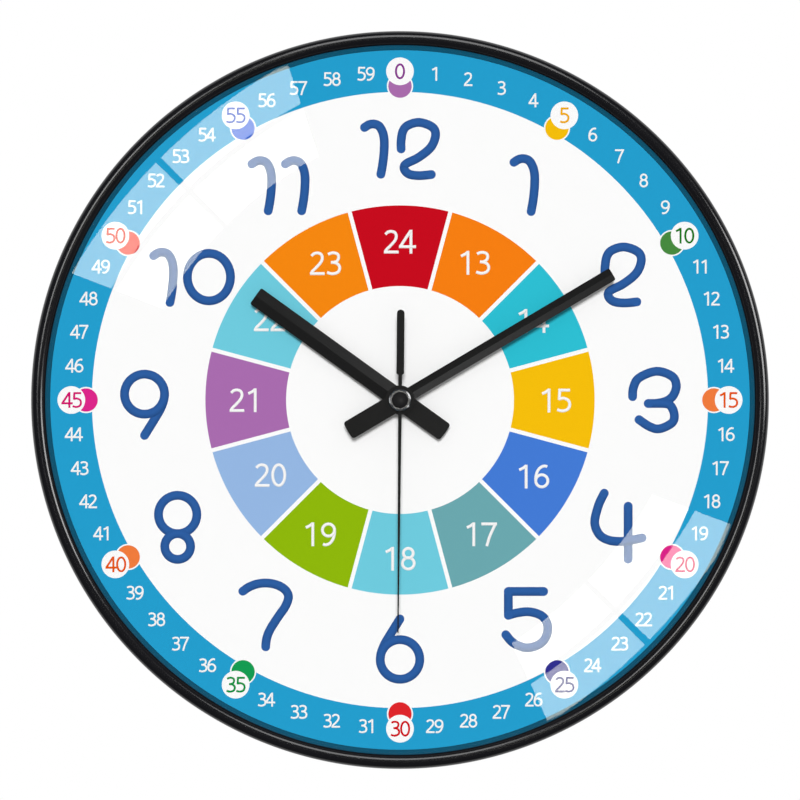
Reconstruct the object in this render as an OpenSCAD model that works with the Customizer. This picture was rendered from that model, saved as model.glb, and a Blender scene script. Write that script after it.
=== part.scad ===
// Time teaching wall clock: a round case with a printed dial, three hands and a quartz movement.
// Every piece is drawn lying on a bench: X to the right, Y to twelve o'clock, Z from the wall to the viewer.
// hung() then stands it up: the face looks along -Y, twelve is along +Z and the wall is the plane Y = 0.

/* [Case] */
// Outer diameter of the bezel
clock_d = 300; // [280:1:340]
// Width of the bezel seen from the front, which is also the diameter of its half-round crown
bezel_w = 6; // [5:0.5:9]
// How much smaller in radius the bezel is at its back edge
bezel_draft = 0.4; // [0:0.1:0.8]
// Thickness of the bezel's two hollow walls
bezel_wall = 1.2; // [1:0.1:1.4]
// How far the lens reaches under the bezel's lip
lens_lap = 1.8; // [1:0.1:2.2]
// Thickness of the lens
lens_t = 2; // [1.5:0.1:3]
// Bevel round the lens's edges
lens_bevel = 0.3; // [0.1:0.1:0.6]
// Free height for the hands between dial and lens
hand_room = 13.2; // [12.6:0.1:18]
// Thickness of the printed dial
dial_t = 0.4; // [0.2:0.1:1]
// Thickness of the back plate
plate_t = 2.4; // [2:0.1:3.5]
// Thickness of the back plate's collar, which presses the lens against the lip
collar_t = 1.4; // [1:0.1:2]
// Depth of the ring that stands on the wall
ring_h = 20; // [20:0.5:26]
// How far that ring stands in from the bezel's outside
ring_inset = 20; // [15:0.5:30]
// Thickness of that ring
ring_t = 2.4; // [1.6:0.1:4]
// Thickness of the stiffening ribs behind the back plate
rib_t = 1.6; // [1:0.1:2.5]
// Height of those ribs
rib_h = 5; // [2:0.5:8]
// Number of spoke ribs
rib_count = 12; // [6:2:24]
// Number of case screws
case_screw_count = 8; // [4:1:12]
// Shank radius of a case screw
case_screw_r = 0.8; // [0.6:0.05:0.9]
// Length of a case screw under its head
case_screw_l = 10; // [7:0.5:12]
// Clearance round the lens, the collar and the dial
case_play = 0.2; // [0.1:0.05:0.4]

/* [Hanger] */
// How far the keyhole's entry lies below the top of the wall ring
hanger_drop = 32; // [30:0.5:45]
// Width of the hanger plate
hanger_w = 44; // [36:1:60]
// Height of the hanger plate
hanger_h = 24; // [22:1:30]
// Thickness of the hanger plate
hanger_t = 1.2; // [0.8:0.1:2]
// Gap between the wall and the hanger plate
hanger_off = 3; // [2.5:0.1:5]
// Radius of the keyhole's entry, for the head of the wall screw
key_r = 4.5; // [4:0.1:5.5]
// Radius of the keyhole's slot, for the shank of the wall screw
slot_r = 2.2; // [2.1:0.1:2.6]
// Height of the slot's top above the entry
slot_rise = 9; // [7:0.5:10]

/* [Movement] */
// Room from the hand axis to the wall of the battery bay
train_room = 10.5; // [10.3:0.1:13]
// Thickness of the movement
mov_t = 16; // [15.8:0.1:18]
// Thickness of the movement's walls
mov_wall = 1.3; // [1:0.1:1.4]
// Corner radius of the movement
mov_corner = 4; // [2:0.5:6]
// Thickness of the rubber gasket between movement and back plate
gasket_t = 0.8; // [0.5:0.1:1.5]
// Radius of the fixed stem that carries the nut
stem_r = 4; // [3.6:0.1:5]
// Radius of the hour pipe inside the stem
hour_pipe_r = 2.5; // [2.4:0.05:2.8]
// Radius of the minute tube inside the hour pipe
minute_tube_r = 1.5; // [1.3:0.05:1.7]
// Radius of the second arbor inside the minute tube
second_arbor_r = 0.5; // [0.4:0.05:0.7]
// Running clearance of the arbors in their bearings
play = 0.05; // [0.03:0.01:0.08]
// Thickness of a toothed wheel
wheel_t = 0.8; // [0.6:0.1:1]
// Thickness of the train plate
train_t = 0.8; // [0.6:0.1:1]
// Thickness of the wall between battery bay and train
bay_wall = 1; // [0.8:0.1:1.2]
// Radius of the battery, of the AA size
cell_r = 7.25; // [7:0.05:7.3]
// Length of the battery with its button
cell_l = 50.5; // [49:0.1:51]
// Room for the contact at each end of the battery
cell_room = 1.45; // [1.2:0.05:2.5]
// Clearance round the battery
bay_play = 0.35; // [0.2:0.05:0.6]

/* [Gear train] */
// Distance from the hand axis to the intermediate wheel
inter_c = 9.6; // [9.5:0.05:9.7]
// Direction of the intermediate wheel from the hand axis
inter_dir = 60; // [50:1:70]
// Distance from the intermediate wheel to the rotor
rotor_c = 7.6; // [7.4:0.05:7.9]
// Direction of the rotor from the intermediate wheel
rotor_dir = 30; // [25:1:35]
// Distance from the hand axis to the third wheel, which lies to the left
third_c = 9.7; // [9.5:0.05:9.8]
// Distance from the hand axis to the minute wheel, which lies to the right
minute_c = 10.2; // [10.1:0.05:10.6]
// Pressure angle of the teeth
tooth_angle = 25; // [20:1:28]
// Height of a tooth above its pitch circle, in modules
tooth_top = 0.7; // [0.6:0.05:0.8]
// Depth of a tooth below its pitch circle, in modules
tooth_foot = 1.05; // [1:0.05:1.2]
// How much thinner a tooth is than half the pitch, in modules, which gives the backlash
tooth_thin = 0.2; // [0.12:0.02:0.3]

/* [Hands] */
// Time that the hour hand shows, as an angle from twelve
hour_angle = 305.8; // [0:0.1:360]
// The same for the minute hand
minute_angle = 59.3; // [0:0.1:360]
// The same for the second hand
second_angle = 180.5; // [0:0.1:360]
// Reach of the hour hand from the hand axis
hour_l = 73.2; // [60:0.1:78]
// Width of the hour hand
hour_w = 8; // [6:0.1:10]
// Reach of the hour hand's tail
hour_tail_l = 23; // [15:0.1:30]
// Reach of the minute hand from the hand axis
minute_l = 101.4; // [85:0.1:120]
// Width of the minute hand
minute_w = 5.5; // [4:0.1:8]
// Reach of the minute hand's tail
minute_tail_l = 25; // [15:0.1:32]
// Width of the minute hand's tail
minute_tail_w = 7.8; // [6:0.1:10]
// Reach of the second hand from the hand axis
second_l = 95.3; // [80:0.1:120]
// Width of the second hand at the hub
second_w = 1.5; // [1.2:0.1:2]
// Width of the second hand at its tip
second_tip_w = 0.5; // [0.3:0.1:1]
// Reach of the second hand's counterweight
second_tail_l = 37; // [30:0.1:45]
// Width of the second hand's counterweight
second_tail_w = 3.1; // [2:0.1:5]
// Where the counterweight begins
second_neck_l = 10.4; // [7:0.1:14]
// Thickness of a hand's metal at its edge
hand_t = 0.4; // [0.3:0.05:0.6]
// Height of the pressed ridge along a hand
hand_ridge = 0.5; // [0.3:0.05:0.6]
// Corner radius of the hour and minute hands
hand_corner = 0.8; // [0.4:0.1:1.2]
// Corner radius of their tails
tail_corner = 1.5; // [0.8:0.1:2.5]
// Thickness of the hands' hubs
hub_t = 1.2; // [1:0.1:1.5]
// Radius of the minute hand's hub
hub_r = 6; // [5:0.1:7]
// Free height between one hand and the next
hand_gap = 0.7; // [0.5:0.05:0.9]
// Radius of the round nut that holds the minute hand
hand_nut_r = 4.5; // [4:0.1:5.5]
// Height of that nut
hand_nut_t = 1.5; // [1.2:0.1:1.8]
// Radius of the second hand's cap
cap_r = 3.3; // [2.8:0.1:4]
// Height of the cap above the second hand
cap_h = 1.2; // [0.8:0.1:1.4]
// Radius of the bright ring round the cap
cap_ring_r = 4.5; // [4:0.1:5.5]
// Height of that ring
cap_ring_h = 0.9; // [0.6:0.05:1.1]

/* [Hidden] */
$fn = 96;
eps = 0.01;

// Radii of the case
clock_r = clock_d / 2;
crown_r = bezel_w / 2;
lip_r = clock_r - bezel_w;
lens_r = lip_r + lens_lap;
bore_r = lens_r + case_play;
collar_r = bore_r - case_play;
dial_r = collar_r - collar_t - case_play;
back_r = clock_r - bezel_draft;
plate_r = back_r - case_play;
ring_r = clock_r - ring_inset;

// Levels of the case, from the wall
z_plate = ring_h;
z_dial = z_plate + plate_t;
z_face = z_dial + dial_t;
z_lens = z_face + hand_room;
z_lip = z_lens + lens_t;
crown_rise = 1;
z_crown = z_lip + crown_rise;

// Screws
case_screw_at = (bore_r + back_r) / 2;
case_boss_r = (back_r - bore_r) / 2;
case_head_r = 2 * case_screw_r;
case_head_h = 1.3;
screw_play = 0.1;
hanger_screw_r = 1;
hanger_screw_l = 8;
hanger_head_r = 2.4;
hanger_head_h = 1.4;
hanger_post_r = 3.2;
hanger_edge = 1;
hanger_post_x = hanger_w / 2 - hanger_post_r - hanger_edge;
hanger_rise = 2;
hanger_y = ring_r - hanger_drop;
hanger_mid = hanger_y + hanger_rise;
hanger_corner = 4;

// Size of the movement, which holds the battery across and the train above the battery
inner_w = max(cell_l + 2 * cell_room, 2 * (train_room + bay_wall + 2 * cell_r + 2 * bay_play));
mov_w = inner_w + 2 * mov_wall;

// Back plate's ribs and the nest that keeps the movement from turning
nest_t = 1.6;
nest_h = 6;
nest_play = 0.3;
nest_w = mov_w + 2 * nest_play;
hoop_from_nest = 19.7;
hoop_from_ring = 38;
hoop_in_r = nest_w / 2 + hoop_from_nest;
hoop_out_r = ring_r - hoop_from_ring;

// Levels of the movement, from its back to the stem's top
z_mov_top = z_plate - gasket_t;
z_mov_back = z_mov_top - mov_t;
z_roof = z_mov_top - mov_wall;
z_floor = z_mov_back + mov_wall;
split_drop = 1;
z_split = z_mov_back + mov_t / 2 - split_drop;
gasket_w = 8;
gasket_r = stem_r + gasket_w;
washer_w = 1.9;
washer_r = stem_r + washer_w;
washer_t = 0.5;
nut_corner_w = 1.9;
nut_w = 1.6;
nut_r = stem_r + nut_corner_w;
nut_round_r = stem_r + nut_w;
nut_t = 2.2;
stem_over = 0.3;
z_nut = z_face + washer_t;
z_stem = z_nut + nut_t + stem_over;

// Levels of the train, each worked out from the one below
wheel_gap = 1;
floor_gap = 0.7;
plate_gap = 0.7;
hour_gap = 0.6;
end_shake = 0.2;
z_second = z_floor + floor_gap;
z_third = z_second + wheel_t + wheel_gap;
z_centre = z_third + 2 * wheel_t + wheel_gap - end_shake;
z_minute = z_centre + wheel_t + wheel_gap;
z_train = z_minute + wheel_t + plate_gap;
z_hour = z_train + train_t + hour_gap;
pinion_over = 0.3;
pivot_r = 0.4;
pivot_l = 0.8;
pivot_top = z_train + train_t;
boss_r = 1.2;
tooth_room = 0.4;

// Webs of the toothed wheels
spokes = 5;
rim_t = 0.8;
wheel_hub_r = 3;
hour_hub_web = 1.5;

// Teeth of each wheel and the pinion that it meets
rotor_pinion_n = 12;
inter_n = 60;
inter_pinion_n = 10;
second_n = 60;
second_pinion_n = 8;
third_n = 60;
third_pinion_n = 8;
centre_n = 64;
cannon_n = 12;
minute_n = 36;
minute_pinion_n = 12;
hour_n = 48;

// Modules, from the centre distances
rotor_m = pair_module(rotor_c, rotor_pinion_n, inter_n);
inter_m = pair_module(inter_c, inter_pinion_n, second_n);
second_m = pair_module(third_c, second_pinion_n, third_n);
third_m = pair_module(third_c, third_pinion_n, centre_n);
cannon_m = pair_module(minute_c, cannon_n, minute_n);
hour_m = pair_module(minute_c, minute_pinion_n, hour_n);

// Places of the arbors
inter_at = inter_c * [cos(inter_dir), sin(inter_dir)];
rotor_at = inter_at + rotor_c * [cos(rotor_dir), sin(rotor_dir)];
third_at = [-third_c, 0];
minute_arbor_at = [minute_c, 0];

// Arbors that are not on the hand axis
arbor_r = 0.6;
setting_r = 0.8;
knob_shaft_r = 1.6;
knob_r = 6;
knob_off = 0.4;
knob_end = 1;
knob_grips = 24;
grip_r = 0.45;
knob_in = 0.3;

// Friction clutch between the centre wheel and the cannon pinion
clutch_r = 2;
clutch_rim = 0.8;
clutch_flange_t = 0.35;
z_clutch = z_centre - play - clutch_flange_t;
spring_r = 4;
spring_t = 0.3;

// Stepping motor
magnet_r = 3;
magnet_h = 3.4;
magnet_gap = 0.3;
rotor_hub_r = 0.9;
stator_hole_r = 3.5;
stator_ring_r = 5;
stator_t = 1;
leg_w = 4;
leg_left = 14;
leg_right = 10;
leg_left_x = rotor_at[0] - leg_left;
leg_right_x = rotor_at[0] + leg_right;
legs_w = leg_right_x + leg_w - leg_left_x;
core_w = 3;
core_t = 1;
coil_r = 4.2;
coil_wall_gap = 0.6;
coil_y = inner_w / 2 - coil_r - coil_wall_gap;
winding_in = 0.3;
coil_tube_r = 2.2;
flange_t = 0.8;
flange_gap = 0.4;
coil_l = leg_right_x - leg_left_x - leg_w - 2 * flange_gap;
stator_rise = 1.8;
z_stator = z_third + wheel_t + stator_rise;
z_core = z_stator + stator_t;
bar_drop = 2;
bar_y = rotor_at[1] - bar_drop;
bar_h = 4.6;
post_drop = 6.5;

// Battery and its bay
cell_y = -inner_w / 2 + bay_play + cell_r;
bay_top = cell_y + cell_r + bay_play;
wall_top = bay_top + bay_wall;
cell_roof_gap = 0.3;
z_cell = z_roof - cell_roof_gap - cell_r;
cell_rim = 1;
cell_step = 0.6;
button_r = 2.75;
button_l = 1.3;
leaf_t = 0.3;
leaf_play = 0.1;
leaf_w = 9;
tail_gap = 0.7;

// Circuit board
board_t = 0.8;
board_drop = 3.6;
z_board = z_roof - board_drop;
board_edge = 1;
board_x = -inner_w / 2 + board_edge;
board_w = 13;
board_y = 3;
board_h = 13;
board_post_r = 1.4;
post_in = [2, 1.6];
board_posts = [
    [board_x + board_w - post_in[0], board_y + post_in[1]],
    [board_x + post_in[0], board_y + board_h - post_in[1]]
];
crystal_at = [6, 10];
crystal_r = 1;
crystal_l = 6;
chip_at = [7.5, 4.5];
chip_r = 3;
chip_h = 1;

// Contact straps, which lie on the board's front
z_strap = z_board + board_t;
strap_w = 2;
strap_off = 1;
plus_foot = 1;
minus_foot_x = 2;
minus_foot_y = 3;
minus_foot_w = 1;

// Train plate and its pillars
train_side_gap = 2.7;
train_end_gap = 1.6;
train_w = inner_w - 2 * train_side_gap;
train_low = wall_top + train_end_gap;
train_top = coil_y - coil_r - train_end_gap;
train_h = train_top - train_low;
train_mid = (train_top + train_low) / 2;
train_corner = 3;
pillar_r = 1.6;
pillar_in = [2.5, 2.9];
pillar_x = train_w / 2 - pillar_in[0];
top_pillar_x = -9;
pillars = [
    [-pillar_x, train_low + pillar_in[1]], [pillar_x, train_low + pillar_in[1]],
    [top_pillar_x, train_top - pillar_r]
];

// Levels of the hands
stem_gap = 0.5;
z_hour_hand = z_stem + stem_gap;
z_minute_hand = z_hour_hand + hub_t + hand_gap;
z_hand_nut = z_minute_hand + hub_t;
z_second_hand = z_hand_nut + hand_nut_t + hand_gap;
hour_hub_r = 5.4;
neck_lap = 1;
cap_edge = 0.05;
cap_ring_edge = 0.3;
second_end_y = second_tail_w / 2 - second_tail_l;
second_corner = second_tail_w / 4;
fit = 0.02;

// Gear formulas: involute teeth, with tooth 0 centred on +X
function pair_module(c, na, nb) = 2 * c / (na + nb);
function inv(a) = tan(a) * 180 / PI - a;
function half_tooth(r, n, m) =
    let (pitch = n * m / 2, base = pitch * cos(tooth_angle), at = max(r, base))
    90 / n - tooth_thin / n * 180 / PI + inv(tooth_angle) - inv(acos(base / at));
function tooth_radii(n, m) =
    let (pitch = n * m / 2, foot = pitch - tooth_foot * m, top = pitch + tooth_top * m)
    let (base = max(foot, pitch * cos(tooth_angle)))
    [foot, base, (base + top) / 2, top];
function polar(r, a) = [r * cos(a), r * sin(a)];
function gear_points(n, m) = [
    for (i = [0 : n - 1], side = [-1, 1], k = [0 : 3])
        let (r = tooth_radii(n, m)[side < 0 ? k : 3 - k])
        polar(r, i * 360 / n + side * half_tooth(r, n, m))
];
// Turn of gear b that puts its gap on gear a's tooth, where b lies in direction dir from a
function mesh_turn(dir, turn_a, na, nb) = dir + 180 - (0.5 - (dir - turn_a) * na / 360) * 360 / nb;
function tip_r(n, m) = n * m / 2 + tooth_top * m;
// Radius of a dome of height h over a disc of radius r
function dome_r(r, h) = (r * r + h * h) / (2 * h);

module hung() rotate([90, 0, 0]) children();

module at_height(p, z) translate([p[0], p[1], z]) children();

module gear(n, m, h, turn = 0) rotate(turn) linear_extrude(h) polygon(gear_points(n, m));

module around(count, r)
    for (i = [0 : count - 1]) rotate((i + 0.5) * 360 / count) translate([r, 0, 0]) children();

// Toothed wheel with round windows between its hub and its rim
module wheel(n, m, turn, hub) {
    rim = tooth_radii(n, m)[0] - rim_t;
    difference() {
        gear(n, m, wheel_t, turn);
        around(spokes, (hub + rim) / 2) translate([0, 0, -eps])
            cylinder(r = (rim - hub) / 2, h = wheel_t + 2 * eps);
    }
}

// Thin arbor from the floor's bearing to the train plate's
module pivots() translate([0, 0, z_floor - pivot_l + play])
    cylinder(r = pivot_r, h = pivot_top - z_floor + pivot_l - play);

// Cap of a sphere, h high on a disc of radius r
module dome(r, h) rotate_extrude() intersection() {
    translate([0, h - dome_r(r, h)]) circle(dome_r(r, h));
    square([r, h]);
}

module tube(r_out, r_in, h)
    difference() {
        cylinder(r = r_out, h = h);
        translate([0, 0, -eps]) cylinder(r = r_in, h = h + 2 * eps);
    }

module rounded_rect(w, h, r) {
    square([w - 2 * r, h], center = true);
    square([w, h - 2 * r], center = true);
    for (x = [-1, 1], y = [-1, 1])
        translate([x * (w / 2 - r), y * (h / 2 - r)]) circle(r);
}

// Front of the case

module bezel_section() {
    translate([clock_r - crown_r, z_crown]) circle(crown_r);
    translate([lip_r, z_lip]) square([bezel_w, z_crown - z_lip]);
    polygon([[bore_r, z_dial], [back_r, z_dial], [clock_r, z_lip], [bore_r, z_lip]]);
}

module front_bezel() color("#16171a") hung() difference() {
    rotate_extrude() difference() {
        bezel_section();
        translate([0, z_lens]) square([bore_r, lens_t]);
    }
    difference() {
        rotate_extrude() translate([bore_r + bezel_wall, z_dial - eps])
            square([back_r - bore_r - 2 * bezel_wall, z_lens - z_dial]);
        around(case_screw_count, case_screw_at) cylinder(r = case_boss_r, h = z_lip);
    }
    around(case_screw_count, case_screw_at) translate([0, 0, z_dial - eps])
        cylinder(r = case_screw_r + screw_play, h = case_screw_l);
}

module lens() color("#d8e6ee", 0.25) hung() rotate_extrude() polygon([
    [0, z_lens], [lens_r - lens_bevel, z_lens], [lens_r, z_lens + lens_bevel],
    [lens_r, z_lip - lens_bevel], [lens_r - lens_bevel, z_lip], [0, z_lip]
]);

module dial_sheet() color("#f8f8f8") hung() translate([0, 0, z_dial])
    tube(dial_r, stem_r + case_play, dial_t);

// Back of the case

module back_section() {
    translate([0, z_plate]) square([plate_r, plate_t]);
    translate([collar_r - collar_t, z_plate]) square([collar_t, z_lens - z_plate]);
    translate([ring_r - ring_t, 0]) square([ring_t, z_plate + eps]);
    for (r = [hoop_in_r, hoop_out_r]) translate([r, z_plate - rib_h]) square([rib_t, rib_h + eps]);
}

module nest() translate([0, 0, z_plate - nest_h]) linear_extrude(nest_h + eps) difference() {
    rounded_rect(nest_w + 2 * nest_t, nest_w + 2 * nest_t, mov_corner + nest_play + nest_t);
    rounded_rect(nest_w, nest_w, mov_corner + nest_play);
}

module at_hanger_posts(z) for (x = [-1, 1]) translate([x * hanger_post_x, hanger_mid, z]) children();

module back_plate() color("#1c1d20") hung() difference() {
    union() {
        rotate_extrude() back_section();
        around(rib_count, hoop_in_r + rib_t / 2) translate([0, -rib_t / 2, z_plate - rib_h])
            cube([ring_r - ring_t / 2 - hoop_in_r - rib_t / 2, rib_t, rib_h + eps]);
        nest();
        at_hanger_posts(hanger_off + hanger_t)
            cylinder(r = hanger_post_r, h = z_plate - hanger_off - hanger_t + eps);
    }
    translate([0, 0, z_plate - eps]) cylinder(r = stem_r + case_play, h = plate_t + 2 * eps);
    around(case_screw_count, case_screw_at) translate([0, 0, z_plate - eps])
        cylinder(r = case_screw_r + screw_play, h = plate_t + 2 * eps);
    at_hanger_posts(hanger_off + hanger_t - eps)
        cylinder(r = hanger_screw_r + screw_play, h = hanger_screw_l);
}

// Pan head screw whose head sits below its seat at z = 0
module screw(r, l, head_r, head_h) {
    translate([0, 0, -eps]) cylinder(r = r, h = l + eps);
    translate([0, 0, -head_h]) rotate_extrude() intersection() {
        translate([0, head_r + head_h / 4]) circle(head_r + head_h / 4);
        square([head_r, head_h]);
    }
}

module case_screws() color("#8d9094") hung() around(case_screw_count, case_screw_at)
    translate([0, 0, z_plate]) screw(case_screw_r, case_screw_l, case_head_r, case_head_h);

module hanger_screws() color("#8d9094") hung() at_hanger_posts(hanger_off)
    screw(hanger_screw_r, hanger_screw_l, hanger_head_r, hanger_head_h);

module hanger_plate() color("#a7abb0") hung() translate([0, 0, hanger_off])
  linear_extrude(hanger_t) difference() {
    translate([0, hanger_mid]) rounded_rect(hanger_w, hanger_h, hanger_corner);
    translate([0, hanger_y]) circle(key_r);
    translate([-slot_r, hanger_y]) square([2 * slot_r, slot_rise - slot_r]);
    translate([0, hanger_y + slot_rise - slot_r]) circle(slot_r);
    at_hanger_posts(0) circle(hanger_screw_r + screw_play);
}

// Movement housing

module inner_area(y0, y1) intersection() {
    rounded_rect(inner_w, inner_w, mov_corner - mov_wall);
    translate([-inner_w / 2, y0]) square([inner_w, y1 - y0]);
}

module housing(z0, z1) translate([0, 0, z0]) linear_extrude(z1 - z0) rounded_rect(mov_w, mov_w, mov_corner);

// Boss that hangs from the roof of the front case
module roof_boss(p, r, foot) at_height(p, foot) cylinder(r = r, h = z_roof - foot + eps);

module movement_front_case() color("#202124") hung() difference() {
    union() {
        difference() {
            housing(z_split, z_mov_top);
            translate([0, 0, z_split - eps]) linear_extrude(z_roof - z_split + eps)
                rounded_rect(inner_w, inner_w, mov_corner - mov_wall);
        }
        translate([-inner_w / 2 + tail_gap, bay_top, z_split])
            cube([inner_w - 2 * tail_gap, bay_wall, z_roof - z_split + eps]);
        translate([0, 0, z_mov_top - eps]) cylinder(r = stem_r, h = z_stem - z_mov_top + eps);
        roof_boss([0, 0], stem_r, z_hour + wheel_t + end_shake);
        roof_boss(minute_arbor_at, boss_r, z_hour + wheel_t + pinion_over + end_shake);
        for (p = board_posts) roof_boss(p, board_post_r, z_board + board_t);
    }
    translate([0, 0, z_hour]) cylinder(r = hour_pipe_r + play, h = z_stem);
    at_height(minute_arbor_at, z_hour) cylinder(r = setting_r + play, h = z_roof - z_hour + eps);
}

// Bearing boss that rises from the floor of the rear case
module floor_boss(p, r, top) at_height(p, z_floor - eps) cylinder(r = r, h = top - z_floor + eps);

module movement_rear_case() color("#202124") hung() difference() {
    union() {
        difference() {
            housing(z_mov_back, z_split);
            translate([0, 0, z_floor]) linear_extrude(z_split) inner_area(wall_top, inner_w / 2);
            translate([0, 0, z_mov_back - eps]) linear_extrude(z_split) inner_area(-inner_w / 2, bay_top);
        }
        floor_boss([0, 0], boss_r, z_second - end_shake);
        floor_boss(inter_at, boss_r, z_second - 2 * end_shake);
        floor_boss(third_at, boss_r, z_second - end_shake);
        floor_boss(rotor_at, boss_r, z_second - end_shake);
        for (p = pillars) floor_boss(p, pillar_r, z_train);
        for (x = [leg_left_x, leg_right_x])
            floor_boss([x + leg_w / 2, coil_y - post_drop], boss_r, z_stator);
    }
    for (p = [[0, 0], inter_at, third_at, rotor_at]) at_height(p, z_floor - pivot_l)
        cylinder(r = (p == [0, 0] ? second_arbor_r : pivot_r) + play, h = z_split);
    at_height(minute_arbor_at, z_mov_back - eps) cylinder(r = knob_shaft_r + play, h = mov_wall + 2 * eps);
}

module stem_gasket() color("#2b2b2b") hung() translate([0, 0, z_mov_top])
    tube(gasket_r, stem_r + case_play, gasket_t);

module stem_washer() color("#c9a24a") hung() translate([0, 0, z_face])
    tube(washer_r, stem_r + case_play, washer_t);

module stem_nut() color("#c9a24a") hung() translate([0, 0, z_nut]) difference() {
    intersection() {
        cylinder(r = nut_r, h = nut_t, $fn = 6);
        cylinder(r = nut_round_r, h = nut_t);
    }
    translate([0, 0, -eps]) cylinder(r = stem_r + play, h = nut_t + 2 * eps);
}

module train_plate() color("#e4e4df") hung() translate([0, 0, z_train])
  linear_extrude(train_t) difference() {
    translate([0, train_mid]) rounded_rect(train_w, train_h, train_corner);
    circle(minute_tube_r + play);
    for (p = [inter_at, third_at, rotor_at]) translate(p) circle(pivot_r + play);
    translate(minute_arbor_at) circle(tip_r(minute_pinion_n, hour_m) + tooth_room);
}

// Stepping motor

module stator() color("#9a9da1") hung() translate([0, 0, z_stator]) linear_extrude(stator_t) difference() {
    union() {
        translate(rotor_at) circle(stator_ring_r);
        translate([leg_left_x, bar_y]) square([legs_w, bar_h]);
        for (x = [leg_left_x, leg_right_x])
            translate([x, bar_y]) square([leg_w, coil_y + core_w / 2 - bar_y]);
    }
    translate(rotor_at) circle(stator_hole_r);
}

module coil_core() color("#8b8e92") hung()
    translate([leg_left_x, coil_y - core_w / 2, z_core]) cube([legs_w, core_w, core_t]);

module along_coil()
    translate([leg_left_x + leg_w, coil_y, z_core + core_t / 2]) rotate([0, 90, 0]) children();

module coil_bobbin() color("#d9d5c6") hung() difference() {
    along_coil() translate([0, 0, flange_gap]) {
        cylinder(r = coil_tube_r, h = coil_l);
        cylinder(r = coil_r, h = flange_t);
        translate([0, 0, coil_l - flange_t]) cylinder(r = coil_r, h = flange_t);
    }
    translate([leg_left_x, coil_y - core_w / 2 - play, z_core - play])
        cube([legs_w, core_w + 2 * play, core_t + 2 * play]);
}

module coil_winding() color("#b4622d") hung() along_coil() translate([0, 0, flange_gap + flange_t + play])
    tube(coil_r - winding_in, coil_tube_r + play, coil_l - 2 * flange_t - 2 * play);

module rotor_pinion() color("#ece9df") hung() at_height(rotor_at, 0) {
    translate([0, 0, z_third - pinion_over])
        gear(rotor_pinion_n, rotor_m, wheel_t + 2 * pinion_over,
            mesh_turn(rotor_dir, 0, inter_n, rotor_pinion_n));
    pivots();
    translate([0, 0, z_third + wheel_t])
        cylinder(r = rotor_hub_r, h = pinion_over + magnet_gap + magnet_h + end_shake);
}

module rotor_magnet() color("#4a4c50") hung()
    at_height(rotor_at, z_third + wheel_t + pinion_over + magnet_gap)
        tube(magnet_r, rotor_hub_r + fit, magnet_h);

// Electronics and battery

module circuit_board() color("#2d6b3f") hung() translate([board_x, board_y, z_board])
    cube([board_w, board_h, board_t]);

module on_board(p) translate([board_x + p[0], board_y + p[1], z_board + board_t]) children();

module quartz_crystal() color("#c3c6ca") hung() on_board(crystal_at)
    translate([0, 0, crystal_r + play]) rotate([0, 90, 0]) cylinder(r = crystal_r, h = crystal_l);

module chip() color("#121212") hung() on_board(chip_at) dome(chip_r, chip_h);

// Folded leaf at one end of the battery, drawn for the right end
module contact_leaf() {
    x_leaf = cell_l / 2 + leaf_play;
    x_wall = inner_w / 2;
    z_low = z_cell - cell_r / 2;
    z_fold = z_cell + cell_r / 2;
    translate([x_leaf, cell_y - leaf_w / 2, z_low]) cube([leaf_t, leaf_w, z_fold - z_low]);
    translate([x_leaf, cell_y - leaf_w / 2, z_fold - eps]) cube([x_wall - x_leaf, leaf_w, leaf_t]);
    translate([x_wall - leaf_t, cell_y - leaf_w / 2, z_low])
        cube([leaf_t, leaf_w, z_strap + strap_w - z_low]);
    translate([x_wall - leaf_t, cell_y, z_strap]) cube([leaf_t, wall_top + strap_off - cell_y, strap_w]);
}

module contact_plus() color("#d0d3d6") hung() {
    contact_leaf();
    translate([board_x + plus_foot, wall_top + strap_off - leaf_t, z_strap]) {
        cube([inner_w / 2 - board_x - plus_foot, leaf_t, strap_w]);
        cube([leaf_t, board_y + plus_foot - wall_top - strap_off + leaf_t, strap_w]);
    }
}

module contact_minus() color("#d0d3d6") hung() mirror([1, 0, 0]) {
    contact_leaf();
    translate([inner_w / 2 - leaf_t, wall_top, z_strap])
        cube([leaf_t, board_y + minus_foot_y + minus_foot_w - wall_top, strap_w]);
    translate([-board_x - minus_foot_x, board_y + minus_foot_y, z_strap])
        cube([inner_w / 2 + board_x + minus_foot_x, minus_foot_w, leaf_t]);
}

module battery() color("#3f4348") hung() translate([-cell_l / 2, cell_y, z_cell])
  rotate([0, 90, 0]) rotate_extrude() {
    square([cell_r - cell_rim, cell_l / 2]);
    translate([0, cell_step]) square([cell_r, cell_l - button_l - cell_step]);
    square([button_r, cell_l]);
}

// Running train

module intermediate_wheel() color("#ece9df") hung() at_height(inter_at, 0) {
    translate([0, 0, z_third]) wheel(inter_n, rotor_m, 0, wheel_hub_r);
    translate([0, 0, z_second - end_shake])
        gear(inter_pinion_n, inter_m, z_third - z_second + end_shake + eps,
            mesh_turn(inter_dir, 0, second_n, inter_pinion_n));
    pivots();
    translate([0, 0, z_third]) cylinder(r = arbor_r, h = wheel_t + wheel_gap / 2);
}

module second_wheel() color("#ece9df") hung() {
    translate([0, 0, z_second]) wheel(second_n, inter_m, 0, wheel_hub_r);
    translate([0, 0, z_second + wheel_t - eps])
        gear(second_pinion_n, second_m, z_third - z_second + pinion_over + eps);
    translate([0, 0, z_floor - pivot_l + play])
        cylinder(r = second_arbor_r, h = z_second_hand + hand_t + cap_h / 2 - z_floor + pivot_l - play);
}

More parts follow.
